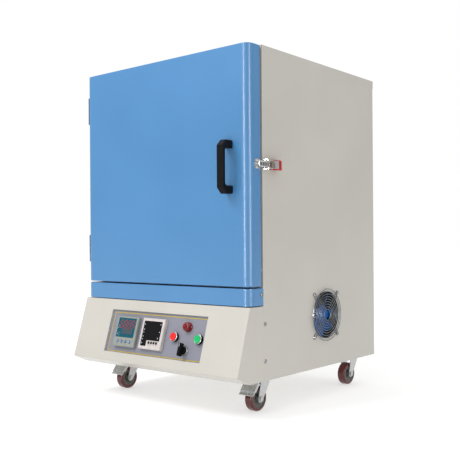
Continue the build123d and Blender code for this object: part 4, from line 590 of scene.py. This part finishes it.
def screws_tree():
    """A head on every point, faced along the point's own direction and turned at random."""
    tree, entry, leave = geometry_tree(
        "Screw heads", [("Head", "NodeSocketObject", None), ("Seed", "NodeSocketInt", 7)],
    )
    facing = add_node(tree, "GeometryNodeInputNamedAttribute", {"Name": "facing"}, data_type="FLOAT_VECTOR")
    direction = {"Vector": facing.outputs["Attribute"]}
    aimed = add_node(tree, "FunctionNodeAlignRotationToVector", direction, axis="Z")
    roll = add_node(
        tree, "FunctionNodeRandomValue",
        {2: 0.0, 3: math.pi, "Seed": entry.outputs["Seed"]}, data_type="FLOAT",
    )
    about = add_node(tree, "ShaderNodeCombineXYZ", {"Z": roll.outputs[1]})
    rolled = add_node(tree, "FunctionNodeEulerToRotation", {0: about.outputs[0]})
    both = {0: aimed.outputs[0], 1: rolled.outputs[0]}
    turn = add_node(tree, "FunctionNodeRotateRotation", both, rotation_space="LOCAL")
    size = add_node(tree, "GeometryNodeInputNamedAttribute", {"Name": "size"}, data_type="FLOAT")
    head = add_node(tree, "GeometryNodeObjectInfo", {"Object": entry.outputs["Head"]})
    stance = {"Rotation": turn.outputs[0], "Scale": size.outputs["Attribute"]}
    copies = set_out(tree, entry.outputs["Shape"], head.outputs["Geometry"], **stance)
    return close_tree(tree, entry, leave, copies)


def guard_tree():
    """Wire guard: rings inwards from the rim, over spokes bent from the shape's own line."""
    tree, entry, leave = geometry_tree(
        "Wire guard",
        [
            ("Rings", "NodeSocketInt", 9),
            ("Rim", "NodeSocketFloat", GUARD_RIM),
            ("Pitch", "NodeSocketFloat", GUARD_PITCH),
            ("Rise", "NodeSocketFloat", 0.0055),
            ("Wire", "NodeSocketFloat", 0.0022),
            ("Place", "NodeSocketVector", None),
        ],
    )
    together = (0.0, 0.0, 0.0)
    line = add_node(tree, "GeometryNodeMeshLine", {"Count": entry.outputs["Rings"], "Offset": together})
    index = add_node(tree, "GeometryNodeInputIndex").outputs[0]
    half = maths(tree, "DIVIDE", entry.outputs["Wire"], 2.0)
    rim = maths(tree, "SUBTRACT", entry.outputs["Rim"], half)
    reach = maths(tree, "SUBTRACT", rim, maths(tree, "MULTIPLY", index, entry.outputs["Pitch"]))
    circle = add_node(tree, "GeometryNodeCurvePrimitiveCircle", {"Resolution": 72, "Radius": 1.0})
    rings = set_out(tree, line.outputs[0], circle.outputs[0], Scale=reach)
    height = add_node(tree, "ShaderNodeCombineXYZ", {"Z": entry.outputs["Rise"]})
    raised = add_node(
        tree, "GeometryNodeTransform", {"Geometry": rings, "Translation": height.outputs[0]},
    )
    bent = add_node(tree, "GeometryNodeMeshToCurve", {0: entry.outputs["Shape"]})
    four = add_node(tree, "GeometryNodeMeshLine", {"Count": 4, "Offset": together})
    about = add_node(tree, "ShaderNodeCombineXYZ", {"Z": maths(tree, "MULTIPLY", index, math.pi / 2)})
    turn = add_node(tree, "FunctionNodeEulerToRotation", {0: about.outputs[0]})
    spokes = set_out(tree, four.outputs[0], bent.outputs[0], Rotation=turn.outputs[0])
    both = add_node(tree, "GeometryNodeJoinGeometry")
    tree.links.new(raised.outputs[0], both.inputs[0])
    tree.links.new(spokes, both.inputs[0])
    real = add_node(tree, "GeometryNodeRealizeInstances", {0: both.outputs[0]})
    section = add_node(tree, "GeometryNodeCurvePrimitiveCircle", {"Resolution": 10, "Radius": half})
    wire = add_node(
        tree, "GeometryNodeCurveToMesh",
        {"Curve": real.outputs[0], "Profile Curve": section.outputs[0], "Fill Caps": True},
    )
    placed = add_node(
        tree, "GeometryNodeTransform",
        {
            "Geometry": wire.outputs[0],
            "Translation": entry.outputs["Place"],
            "Rotation": (0.0, math.pi / 2, 0.0),
        },
    )
    return close_tree(tree, entry, leave, placed.outputs[0])


def grown(piece, tree, values, finish):
    """Runs a geometry tree on a piece and keeps the result as a plain mesh."""
    modifier = piece.modifiers.new("Growth", "NODES")
    modifier.node_group = tree
    values = dict(values, Finish=FINISHES[finish])
    for item in tree.interface.items_tree:
        if item.in_out == "INPUT" and item.name in values:
            modifier[item.identifier] = values[item.name]
    bpy.context.view_layer.update()
    graph = bpy.context.evaluated_depsgraph_get()
    mesh = bpy.data.meshes.new_from_object(piece.evaluated_get(graph))
    if not mesh.polygons:
        raise RuntimeError(f"{tree.name} made no faces for {piece.name}")
    piece.modifiers.clear()
    piece.data = mesh
    mesh.name = piece.name
    shade(mesh)
    return piece


# Settings

def colour_setting(name, description, default):
    return bpy.props.FloatVectorProperty(
        name=name, description=description, default=default, size=3, min=0.0, max=1.0, subtype="COLOR",
    )


def length_setting(name, description, default, low, high):
    return bpy.props.FloatProperty(
        name=name, description=description, default=default, min=low, max=high, unit="LENGTH",
    )


class FurnaceColours(bpy.types.PropertyGroup):
    """Colours of the painted and moulded parts."""

    front: colour_setting("Front", "Powder coat of the door and the band under it", (0.062, 0.232, 0.485))
    cabinet: colour_setting("Cabinet", "Powder coat of the cabinet and the console", (0.545, 0.522, 0.472))
    plate: colour_setting("Control plate", "Sheet behind the instruments", (0.222, 0.226, 0.275))
    border: colour_setting("Border line", "Line printed round the control plate", (0.640, 0.480, 0.030))


class FurnaceSizes(bpy.types.PropertyGroup):
    """Sizes of the small pieces."""

    guard_wire: length_setting("Guard wire", "Diameter of the fan guard's wire", 0.0022, 0.001, 0.004)
    guard_rings: bpy.props.IntProperty(
        name="Guard rings", description="Number of rings in the fan guard", default=9, min=3, max=20,
    )
    border_width: length_setting(
        "Border width", "Width of the line round the control plate", 0.0022, 0.0005, 0.006,
    )
    digit_height: length_setting("Digit height", "Height of the upper row of digits", 0.0240, 0.005, 0.03)
    coat_grain: length_setting(
        "Coat grain", "Size of the orange peel in the powder coat", 0.0030, 0.0005, 0.01,
    )


FINISHES = {}

# Nodes that don't take the finish of their material slot
NODE_FINISHES = {"fan_impeller": "fan_moulding", "fan_frame": "black_plastic"}


class FURNACE_OT_finishes(bpy.types.Operator):
    """Makes the materials of the furnace"""

    bl_idname = "furnace.finishes"
    bl_label = "Finishes"

    def execute(self, context):
        colours = context.scene.furnace_colours
        grain = context.scene.furnace_sizes.coat_grain
        front = tuple(colours.front)
        cabinet = tuple(colours.cabinet)
        FINISHES.update(
            cream_enamel=powder_coat("Cabinet coat", cabinet, grain, 0.00010, 0.48),
            blue_enamel=powder_coat("Front coat", front, grain, 0.00014, 0.36),
            console_enamel=powder_coat("Plate coat", tuple(colours.plate), 0.0012, 0.00004, 0.45),
            border=moulded("Printed line", tuple(colours.border), 0.4),
            dark_border=moulded("Line shadow", scaled(tuple(colours.plate), 0.45), 0.5),
            primed_steel=powder_coat("Primer", (0.16, 0.165, 0.17), 0.0018, 0.00006, 0.6),
            bare_sheet=sheet_metal("Bare sheet", (0.50, 0.51, 0.52), 0.40),
            plated_steel=plated("Bright plating", (0.78, 0.78, 0.77), 0.14),
            chrome_wire=plated("Chrome wire", (0.24, 0.25, 0.26), 0.20),
            screw_plating=plated("Screw plating", (0.34, 0.345, 0.35), 0.24),
            zinc=plated("Zinc plating", (0.55, 0.56, 0.56), 0.24),
            fibre=board("Fibre board", (0.80, 0.79, 0.75)),
            rope=board("Seal rope", (0.72, 0.70, 0.64), 0.0010),
            hearth_ceramic=board("Hearth ceramic", (0.70, 0.62, 0.50), 0.0003),
            element_alloy=oxidised_alloy(),
            black_plastic=moulded("Black moulding", (0.004, 0.004, 0.005), 0.42, Specular_IOR_Level=0.12),
            white_plastic=moulded("White moulding", (0.62, 0.565, 0.55), 0.42),
            controller_bezel=moulded("Grey moulding", (0.27, 0.29, 0.26), 0.5),
            dark_window=window_material(),
            lamp_red=lens_material(),
            red_plastic=moulded("Red cap", (0.86, 0.010, 0.012), 0.3),
            green_plastic=moulded("Green cap", (0.0, 0.50, 0.14), 0.3),
            red_grip=moulded("Red sleeve", (0.55, 0.008, 0.012), 0.36),
            blue_plastic=moulded("Blue moulding", (0.012, 0.085, 0.26), 0.3, Specular_IOR_Level=0.3),
            wheel_rubber=wheel_material(),
            digits=glowing("Lit digits", (0.30, 0.012, 0.008), 0.25),
            low_digits=glowing("Dim digits", (0.17, 0.05, 0.035), 0.2),
            marks=moulded("Pale print", (0.72, 0.80, 0.84), 0.5),
            dark_marks=moulded("Dark print", (0.02, 0.02, 0.022), 0.5),
            fan_moulding=moulded("Fan moulding", (0.006, 0.14, 0.50), 0.38, Specular_IOR_Level=0.2),
            silver_ring=plated("Satin ring", (0.36, 0.36, 0.355), 0.26),
        )
        for node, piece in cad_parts.items():
            wanted = NODE_FINISHES.get(node, piece.material_slots[0].material.name.split(".")[0])
            for place in piece.material_slots:
                place.material = FINISHES[wanted]
        return {"FINISHED"}


class FURNACE_OT_screws(bpy.types.Operator):
    """Cross-recessed pan heads in place of the plain screws"""

    bl_idname = "furnace.screws"
    bl_label = "Screws"

    def execute(self, context):
        head = pan_head()
        points = bmesh.new()
        facing = points.verts.layers.float_vector.new("facing")
        size = points.verts.layers.float.new("size")
        for low, high in solids("panel_screws"):
            spans = high - low
            axis = min(range(3), key=lambda a: abs(spans[(a + 1) % 3] - spans[(a + 2) % 3]))
            side = 1.0 if low[axis] + high[axis] > 0 else -1.0
            across = spans[(axis + 1) % 3]
            spot = (low + high) / 2
            outer = high[axis] if side > 0 else low[axis]
            spot[axis] = outer - side * HEAD_HEIGHT * across / HEAD_DIAMETER
            vertex = points.verts.new(spot)
            direction = Vector((0.0, 0.0, 0.0))
            direction[axis] = side
            vertex[facing] = direction
            vertex[size] = across / HEAD_DIAMETER
        mesh = bpy.data.meshes.new("screw_heads")
        points.to_mesh(mesh)
        points.free()
        piece = add_object("screw_heads", mesh)
        grown(piece, screws_tree(), {"Head": head, "Seed": 7}, "screw_plating")
        bpy.data.objects.remove(head)
        fit(piece, "cabinet", ("panel_screws",))
        return {"FINISHED"}


def pan_head():
    """One pan head with a cross recess, seated on Z = 0."""
    bm = bmesh.new()
    radius = HEAD_DIAMETER / 2
    profile = ((0.0, 0.0), (1.0, 0.0), (1.0, 0.0011), (0.93, 0.0020), (0.76, 0.0027))
    turned(bm, [(radius * share, height) for share, height in profile], Matrix(), 24)
    cross = []
    for turn in range(4):
        spin = Matrix.Rotation(turn * math.pi / 2, 3, "Z")
        for x, y in ((CROSS_REACH, -CROSS_HALF), (CROSS_REACH, CROSS_HALF), (CROSS_HALF, CROSS_HALF)):
            cross.append(spin @ Vector((x, y, HEAD_HEIGHT)))
    lip = [bm.verts.new(point) for point in cross]
    edges = [bm.edges.new((lip[step], lip[(step + 1) % 12])) for step in range(12)]
    rim = [edge for edge in bm.edges if edge.is_boundary]
    bmesh.ops.triangle_fill(bm, edges=edges + rim, use_beauty=True)
    floor = [bm.verts.new((point.x * CROSS_TAPER, point.y * CROSS_TAPER, CROSS_FLOOR)) for point in cross]
    for step in range(12):
        after = (step + 1) % 12
        bm.faces.new((lip[step], lip[after], floor[after], floor[step]))
    bm.faces.new(floor)
    return as_object("screw_head", bm)


# Hairpin spokes: radius of their turn round a screw, and where they bend down, inwards from it
HAIRPIN_RADIUS = 0.0052
HAIRPIN_STEPS = 8
HAIRPIN_BEND_START = 0.016
HAIRPIN_BEND_END = 0.009


class FURNACE_OT_fan(bpy.types.Operator):
    """Wire guard of the cooling fan"""

    bl_idname = "furnace.fan"
    bl_label = "Fan guard"

    def execute(self, context):
        sizes = context.scene.furnace_sizes
        wire = sizes.guard_wire
        piece = add_object("fan_guard_wires", self.spoke_line(sizes.guard_rings, wire))
        middle = (GUARD_LOW + GUARD_HIGH) / 2
        values = {
            "Rings": sizes.guard_rings,
            "Rim": GUARD_RIM,
            "Pitch": GUARD_PITCH,
            "Rise": wire * 2.5,
            "Wire": wire,
            "Place": (GUARD_LOW.x, middle.y, middle.z),
        }
        grown(piece, guard_tree(), values, "chrome_wire")
        fit(piece, "cabinet", ("fan_guard",))
        return {"FINISHED"}

    def spoke_line(self, rings, wire):
        """Middle line of one hairpin spoke: out from the hub, down to the panel, and round a screw."""
        eyelet = GUARD_SCREW_SPACING / 2 * math.sqrt(2.0)
        inner = GUARD_RIM - (rings - 1) * GUARD_PITCH - wire
        high, low = wire * 1.5, wire / 2
        bend = ((eyelet - HAIRPIN_BEND_START, high), (eyelet - HAIRPIN_BEND_END, low))
        leg = ((inner, high), *bend, (eyelet, low))
        path = [(x, -HAIRPIN_RADIUS, z) for x, z in leg]
        for step in range(1, HAIRPIN_STEPS):
            angle = -math.pi / 2 + math.pi * step / HAIRPIN_STEPS
            path.append((eyelet + HAIRPIN_RADIUS * math.cos(angle), HAIRPIN_RADIUS * math.sin(angle), low))
        path += [(x, HAIRPIN_RADIUS, z) for x, z in reversed(leg)]
        turn = Matrix.Rotation(math.pi / 4, 3, "Z")
        edges = [(step, step + 1) for step in range(len(path) - 1)]
        mesh = bpy.data.meshes.new("fan_guard_wires")
        mesh.from_pydata([turn @ Vector(point) for point in path], edges, [])
        return mesh


# Printed line: its distance from each edge of the plate, its corners, and the darker line under it
LINE_LEFT = 0.0105
LINE_RIGHT = 0.0030
LINE_TOP = 0.0075
LINE_BOTTOM = 0.0040
LINE_CORNER = 0.007
LINE_SHADOW = 0.0012


class FURNACE_OT_console(bpy.types.Operator):
    """Printed border line of the control plate"""

    bl_idname = "furnace.console"
    bl_label = "Control plate"

    def execute(self, context):
        width = context.scene.furnace_sizes.border_width
        across = RECESS_SIZE[0] - LINE_LEFT - LINE_RIGHT
        up = RECESS_SIZE[1] - LINE_TOP - LINE_BOTTOM
        middle = (
            RECESS_MIDDLE[0] + (LINE_LEFT - LINE_RIGHT) / 2,
            RECESS_MIDDLE[1] - (LINE_TOP - LINE_BOTTOM) / 2,
        )
        for name, finish, wide, height in (
            ("border_shadow", "dark_border", width + LINE_SHADOW, PRINT / 2),
            ("border_line", "border", width, PRINT),
        ):
            bm = bmesh.new()
            outer = rounded(across + wide, up + wide, LINE_CORNER + wide / 2, middle)
            inner = rounded(across - wide, up - wide, LINE_CORNER - wide / 2, middle)
            hollow_prism(bm, outer, inner, 0.0, height, PLATE)
            fit(as_object(name, bm, finish), "cabinet")
        return {"FINISHED"}


# Middles of a digit's bars as shares of its width and height, and which bars stand upright
SEGMENTS = (
    ((0.5, 1.0), 0), ((1.0, 0.75), 1), ((1.0, 0.25), 1), ((0.5, 0.0), 0),
    ((0.0, 0.25), 1), ((0.0, 0.75), 1), ((0.5, 0.5), 0),
)


def digit(bm, width, height, stroke, lean, place):
    """Seven leaning bars that make one digit, its lower left corner at the place's origin."""
    for (share_x, share_y), upright in SEGMENTS:
        long = (height / 2 if upright else width) / 2 - stroke * 0.62
        bar = [(-long, 0.0), (-long + stroke / 2, -stroke / 2), (long - stroke / 2, -stroke / 2)]
        bar += [(-x, -y) for x, y in bar]
        if upright:
            bar = [(-y, x) for x, y in bar]
        outline = []
        for x, y in bar:
            y += share_y * height
            outline.append((x + share_x * width + lean * y, y))
        prism(bm, outline, 0.0, PRINT, place)


# Rows of digits: left end and foot from the instrument's middle, share of the full height, pitch
DIGIT_ROWS = (
    ("upper_digits", "digits", -0.0300, 0.0110, 1.0, 0.0165),
    ("lower_digits", "low_digits", -0.0170, -0.0065, 0.62, 0.0120),
)
DIGIT_WIDTH = 0.54
DIGIT_STROKE = 0.145
DIGIT_LEAN = 0.08

# Small dots of the left window from the instrument's middle, with their radii, and their thickness
WINDOW_DOTS = (
    (-0.0345, 0.0110, 0.0012), (-0.0345, 0.0175, 0.0009), (-0.0350, -0.0090, 0.0014),
    (-0.0290, -0.0050, 0.0010), (-0.0270, -0.0130, 0.0008),
)
DOT = 0.0001

# Ring printed on each key: inner and outer radius
KEY_MARK = (0.0018, 0.0024)

# Marks of the right window: width, height and corner, and a column near each edge
METER_MARK = (0.0022, 0.0032, 0.0007)
METER_MARKS = (
    *((-0.0335, height) for height in (0.028, 0.012, 0.003, -0.009, -0.018, -0.030)),
    (0.0330, 0.030), (0.0330, 0.007), (0.0300, -0.012),
)

# Flat keys of the right instrument: the first one's middle, pitch, shape and height, and the line under it
METER_KEY_AT = (-0.0040, -0.0275)
METER_KEY_PITCH = 0.0108
METER_KEY = (0.0074, 0.0080, 0.0022)
METER_KEY_HEIGHT = 0.0008
METER_LINE_DROP = 0.0070
METER_LINE = (0.0046, 0.0012, 0.0004)
METER_LINE_HEIGHT = 0.00008


class FURNACE_OT_controllers(bpy.types.Operator):
    """Digits, marks and keys of both instruments"""

    bl_idname = "furnace.controllers"
    bl_label = "Instruments"

    def execute(self, context):
        high = context.scene.furnace_sizes.digit_height
        rows = row_tree()
        x, y = CONTROLLER_AT
        for name, finish, left, foot, share, pitch in DIGIT_ROWS:
            bm = bmesh.new()
            tall = high * share
            place = BEZEL @ Matrix.Translation((x + left, y + foot, 0.0))
            digit(bm, tall * DIGIT_WIDTH, tall, tall * DIGIT_STROKE, DIGIT_LEAN, place)
            piece = as_object(name, bm)
            step = FACE.to_3x3() @ Vector((pitch, 0.0, 0.0))
            grown(piece, rows, {"Count": 4, "Step": tuple(step)}, finish)
            fit(piece, "cabinet")
        bm = bmesh.new()
        for dot_x, dot_y, radius in WINDOW_DOTS:
            profile = [(0.0, 0.0), (radius, 0.0), (radius, DOT), (0.0, DOT)]
            turned(bm, profile, BEZEL @ Matrix.Translation((x + dot_x, y + dot_y, 0.0)), 12)
        fit(as_object("window_dots", bm, "marks"), "cabinet")
        inner, outer = KEY_MARK
        ring = ((inner, 0.0), (outer, 0.0), (outer, DOT), (inner, DOT), (inner, 0.0))
        for number in range(KEY_COUNT):
            key_x = x + (number - (KEY_COUNT - 1) / 2) * KEY_PITCH
            place = BEZEL @ Matrix.Translation((key_x, y - KEY_DROP, KEY_PROUD))
            name = f"key_{number + 1}"
            fit(turned_piece(name + "_mark", "marks", ring, place, 32), name)
        self.meter(rows)
        return {"FINISHED"}

    def meter(self, rows):
        """Marks in the right window, and the four flat keys under it."""
        x, y = METER_AT
        bm = bmesh.new()
        for mark_x, mark_y in METER_MARKS:
            prism(bm, rounded(*METER_MARK, (x + mark_x, y + mark_y), 2), 0.0, DOT, BEZEL)
        fit(as_object("meter_marks", bm, "marks"), "cabinet")
        step = tuple(FACE.to_3x3() @ Vector((METER_KEY_PITCH, 0.0, 0.0)))
        key_x, key_y = x + METER_KEY_AT[0], y + METER_KEY_AT[1]
        outline = rounded(*METER_KEY, (key_x, key_y), 4)
        keys = raised_piece("meter_keys", None, outline, 0.0, METER_KEY_HEIGHT, BEZEL)
        grown(keys, rows, {"Count": 4, "Step": step}, "black_plastic")
        fit(keys, "cabinet")
        outline = rounded(*METER_LINE, (key_x, key_y - METER_LINE_DROP), 2)
        lines = raised_piece("meter_key_marks", None, outline, 0.0, METER_LINE_HEIGHT, BEZEL)
        grown(lines, rows, {"Count": 4, "Step": step}, "dark_marks")
        fit(lines, "cabinet")


# Outlines of the turned pieces on the plate, as (radius, height above the plate)
COLLAR_PROFILE = (
    (0.01235, 0.0006), (0.01235, 0.0088), (0.0142, 0.0088), (0.0149, 0.0080), (0.0149, 0.0004),
    (0.0142, 0.0), (0.0125, 0.0), (0.01235, 0.0006),
)
RING_PROFILE = (
    (0.01235, 0.0088), (0.01235, 0.0104), (0.0128, 0.0107), (0.0136, 0.0107), (0.0146, 0.0101),
    (0.0150, 0.0091), (0.0148, 0.0082), (0.0142, 0.0088), (0.01235, 0.0088),
)
SELECTOR_RING_PROFILE = (
    (0.0, 0.0), (0.0150, 0.0), (0.0150, 0.0032), (0.0141, 0.0046), (0.0126, 0.0050), (0.0, 0.0050),
)
CAP_PROFILE = (
    (0.0, 0.0050), (0.0119, 0.0050), (0.0120, 0.0118), (0.0116, 0.0124), (0.0110, 0.0125),
    (0.0104, 0.0122), (0.0085, 0.0118), (0.0045, 0.0115), (0.0, 0.0114),
)
LAMP_SEAT_PROFILE = ((0.0, 0.0), (0.0150, 0.0), (0.0150, 0.0030), (0.0143, 0.0040), (0.0, 0.0040))
LENS_PROFILE = (
    (0.0, 0.0038), (0.0136, 0.0038), (0.0138, 0.0100), (0.0132, 0.0128), (0.0117, 0.0150),
    (0.0092, 0.0164), (0.0060, 0.0169), (0.0, 0.0170),
)
SELECTOR_BASE_PROFILE = (
    (0.0, 0.0052), (0.0118, 0.0052), (0.0120, 0.0060), (0.0119, 0.0100), (0.0112, 0.0112), (0.0, 0.0112),
)

# Ribs round the lens and the selector's base: their number, and their depth as a share of the radius
LENS_RIBS = (12, 0.030)
BASE_RIBS = (20, 0.008)

# Grip of the selector and its pointer line: width, length and corner, the grip's heights and its
# eased edge, and how far each sits up the plate
GRIP = (0.0086, 0.0396, 0.0042)
POINTER = (0.0012, 0.0100, 0.0005)
GRIP_FOOT = 0.0100
GRIP_TOP = 0.0262
GRIP_EASE = 0.0012
GRIP_SHIFT = 0.0005
POINTER_RISE = 0.0130


class FURNACE_OT_switches(bpy.types.Operator):
    """Lamp, push buttons and selector"""

    bl_idname = "furnace.switches"
    bl_label = "Switches"

    def execute(self, context):
        spots = {name: PLATE @ Matrix.Translation((*at, 0.0)) for name, at in (
            ("lamp", LAMP_AT), ("stop", STOP_AT), ("start", START_AT), ("selector", SELECTOR_AT),
        )}
        collars = bmesh.new()
        rings = bmesh.new()
        for name in ("stop", "start"):
            turned(collars, COLLAR_PROFILE, spots[name], 64)
            turned(rings, RING_PROFILE, spots[name], 64)
        turned(rings, SELECTOR_RING_PROFILE, spots["selector"], 64)
        collar_bodies = as_object("switch_collar_bodies", collars, "black_plastic")
        fit(collar_bodies, "cabinet", ("switch_collars",))
        fit(as_object("switch_rings", rings, "silver_ring"), "cabinet")
        for name, finish in (("stop", "red_plastic"), ("start", "green_plastic")):
            node = name + "_button"
            cap = turned_piece(node + "_cap", finish, CAP_PROFILE, spots[name], 64)
            fit(cap, node, (node,))
        seat = turned_piece("lamp_bezel", "lamp_red", LAMP_SEAT_PROFILE, spots["lamp"], 64)
        fit(seat, "cabinet", ("indicator_lamp",))
        lens = turned_piece("lamp_lens", "lamp_red", LENS_PROFILE, spots["lamp"], 96, *LENS_RIBS)
        fit(lens, "cabinet")
        self.selector(spots["selector"])
        return {"FINISHED"}

    def selector(self, place):
        """Turning base with a long bevelled grip and its pale pointer line."""
        base = turned_piece("selector_base", "black_plastic", SELECTOR_BASE_PROFILE, place, 80, *BASE_RIBS)
        fit(base, "selector", ("selector_knob",))
        outline = rounded(*GRIP, (0.0, GRIP_SHIFT), 8)
        grip = raised_piece("selector_grip", "black_plastic", outline, GRIP_FOOT, GRIP_TOP, place)
        ease(grip, GRIP_EASE)
        fit(grip, "selector")
        outline = rounded(*POINTER, (0.0, POINTER_RISE), 3)
        pointer = raised_piece("selector_pointer", "marks", outline, GRIP_TOP, GRIP_TOP + DOT, place)
        fit(pointer, "selector")


# Strength of the sky at the horizon and overhead
SKY_LOW = 0.34
SKY_HIGH = 1.28

# Soft lights: place, target, size and watts; only the key reaches matt surfaces
LIGHTS = {
    "key": ((-1.2, -2.9, 3.9), (0.0, 0.0, 0.5), (1.8, 1.8), 106.0),
    "front_strip": ((0.42, -3.4, 0.8), (0.33, 0.0, 0.75), (0.16, 2.6), 72.0),
    "side_strip": ((3.25, -1.1, 0.8), (0.33, -0.33, 0.75), (0.10, 2.6), 56.0),
}
FLOOR_REACH = 30.0
FLOOR_GLOW = 0.55

# Camera at the photograph's angle
CAMERA_SPOT = (1.6122, -1.9446, 0.5030)
CAMERA_TURN = (math.radians(90.0), 0.007, 0.6923)
CAMERA_LENS = 57.46
CAMERA_SHIFT = 0.024


def studio_world():
    """White behind the object, and a softer sky that grows brighter overhead to light it."""
    world = bpy.data.worlds.new("Studio")
    world.use_nodes = True
    tree = world.node_tree
    background = tree.nodes["Background"]
    place = add_node(tree, "ShaderNodeTexCoord")
    split = add_node(tree, "ShaderNodeSeparateXYZ", {0: place.outputs["Generated"]})
    sky = remap(tree, split.outputs["Z"], 0.0, 1.0, SKY_LOW, SKY_HIGH)
    path = add_node(tree, "ShaderNodeLightPath")
    strength = maths(tree, "MAXIMUM", path.outputs["Is Camera Ray"], sky)
    tree.links.new(strength, background.inputs["Strength"])
    background.inputs["Color"].default_value = (1.0, 1.0, 1.0, 1.0)
    return world


class FURNACE_OT_stage(bpy.types.Operator):
    """Pale floor, soft lights and the camera"""

    bl_idname = "furnace.stage"
    bl_label = "Stage"

    def execute(self, context):
        scene = context.scene
        mesh = bpy.data.meshes.new("floor")
        sides = ((-1, -1), (1, -1), (1, 1), (-1, 1))
        mesh.from_pydata([(x * FLOOR_REACH, y * FLOOR_REACH, 0.0) for x, y in sides], [], [(0, 1, 2, 3)])
        floor = add_object("floor", mesh)
        material, _, shader = new_material("Floor paper", (0.5, 0.5, 0.5), 0.95)
        shader.inputs["Emission Color"].default_value = (1.0, 1.0, 1.0, 1.0)
        shader.inputs["Emission Strength"].default_value = FLOOR_GLOW
        mesh.materials.append(material)
        scene.world = studio_world()
        for name, (spot, target, size, power) in LIGHTS.items():
            light = bpy.data.lights.new(name, "AREA")
            light.shape = "RECTANGLE"
            light.size, light.size_y = size
            light.energy = power
            lamp = add_object(name, light)
            lamp.location = spot
            lamp.rotation_euler = (Vector(target) - Vector(spot)).to_track_quat("-Z", "Y").to_euler()
            lamp.visible_diffuse = name == "key"
        camera = bpy.data.cameras.new("camera")
        camera.lens = CAMERA_LENS
        camera.sensor_width = 36.0
        camera.shift_y = CAMERA_SHIFT
        eye = add_object("camera", camera)
        eye.location = CAMERA_SPOT
        eye.rotation_euler = CAMERA_TURN
        scene.camera = eye
        scene.view_settings.view_transform = "Standard"
        return {"FINISHED"}


STEPS = ("finishes", "screws", "fan", "console", "controllers", "switches", "stage")


class FURNACE_PT_panel(bpy.types.Panel):
    """The furnace's settings and pieces"""

    bl_idname = "FURNACE_PT_panel"
    bl_label = "Muffle furnace"
    bl_space_type = "VIEW_3D"
    bl_region_type = "UI"
    bl_category = "Furnace"

    def draw(self, context):
        for settings in (context.scene.furnace_colours, context.scene.furnace_sizes):
            box = self.layout.box()
            for name in settings.__annotations__:
                box.prop(settings, name)
        for step in STEPS:
            self.layout.operator("furnace." + step)


CLASSES = (
    FurnaceColours,
    FurnaceSizes,
    FURNACE_OT_finishes,
    FURNACE_OT_screws,
    FURNACE_OT_fan,
    FURNACE_OT_console,
    FURNACE_OT_controllers,
    FURNACE_OT_switches,
    FURNACE_OT_stage,
    FURNACE_PT_panel,
)


def register():
    for each in CLASSES:
        bpy.utils.register_class(each)
    bpy.types.Scene.furnace_colours = bpy.props.PointerProperty(type=FurnaceColours)
    bpy.types.Scene.furnace_sizes = bpy.props.PointerProperty(type=FurnaceSizes)


def unregister():
    del bpy.types.Scene.furnace_sizes
    del bpy.types.Scene.furnace_colours
    for each in reversed(CLASSES):
        bpy.utils.unregister_class(each)


def main():
    register()
    for step in STEPS:
        getattr(bpy.ops.furnace, step)()


if __name__ == "__main__":
    main()
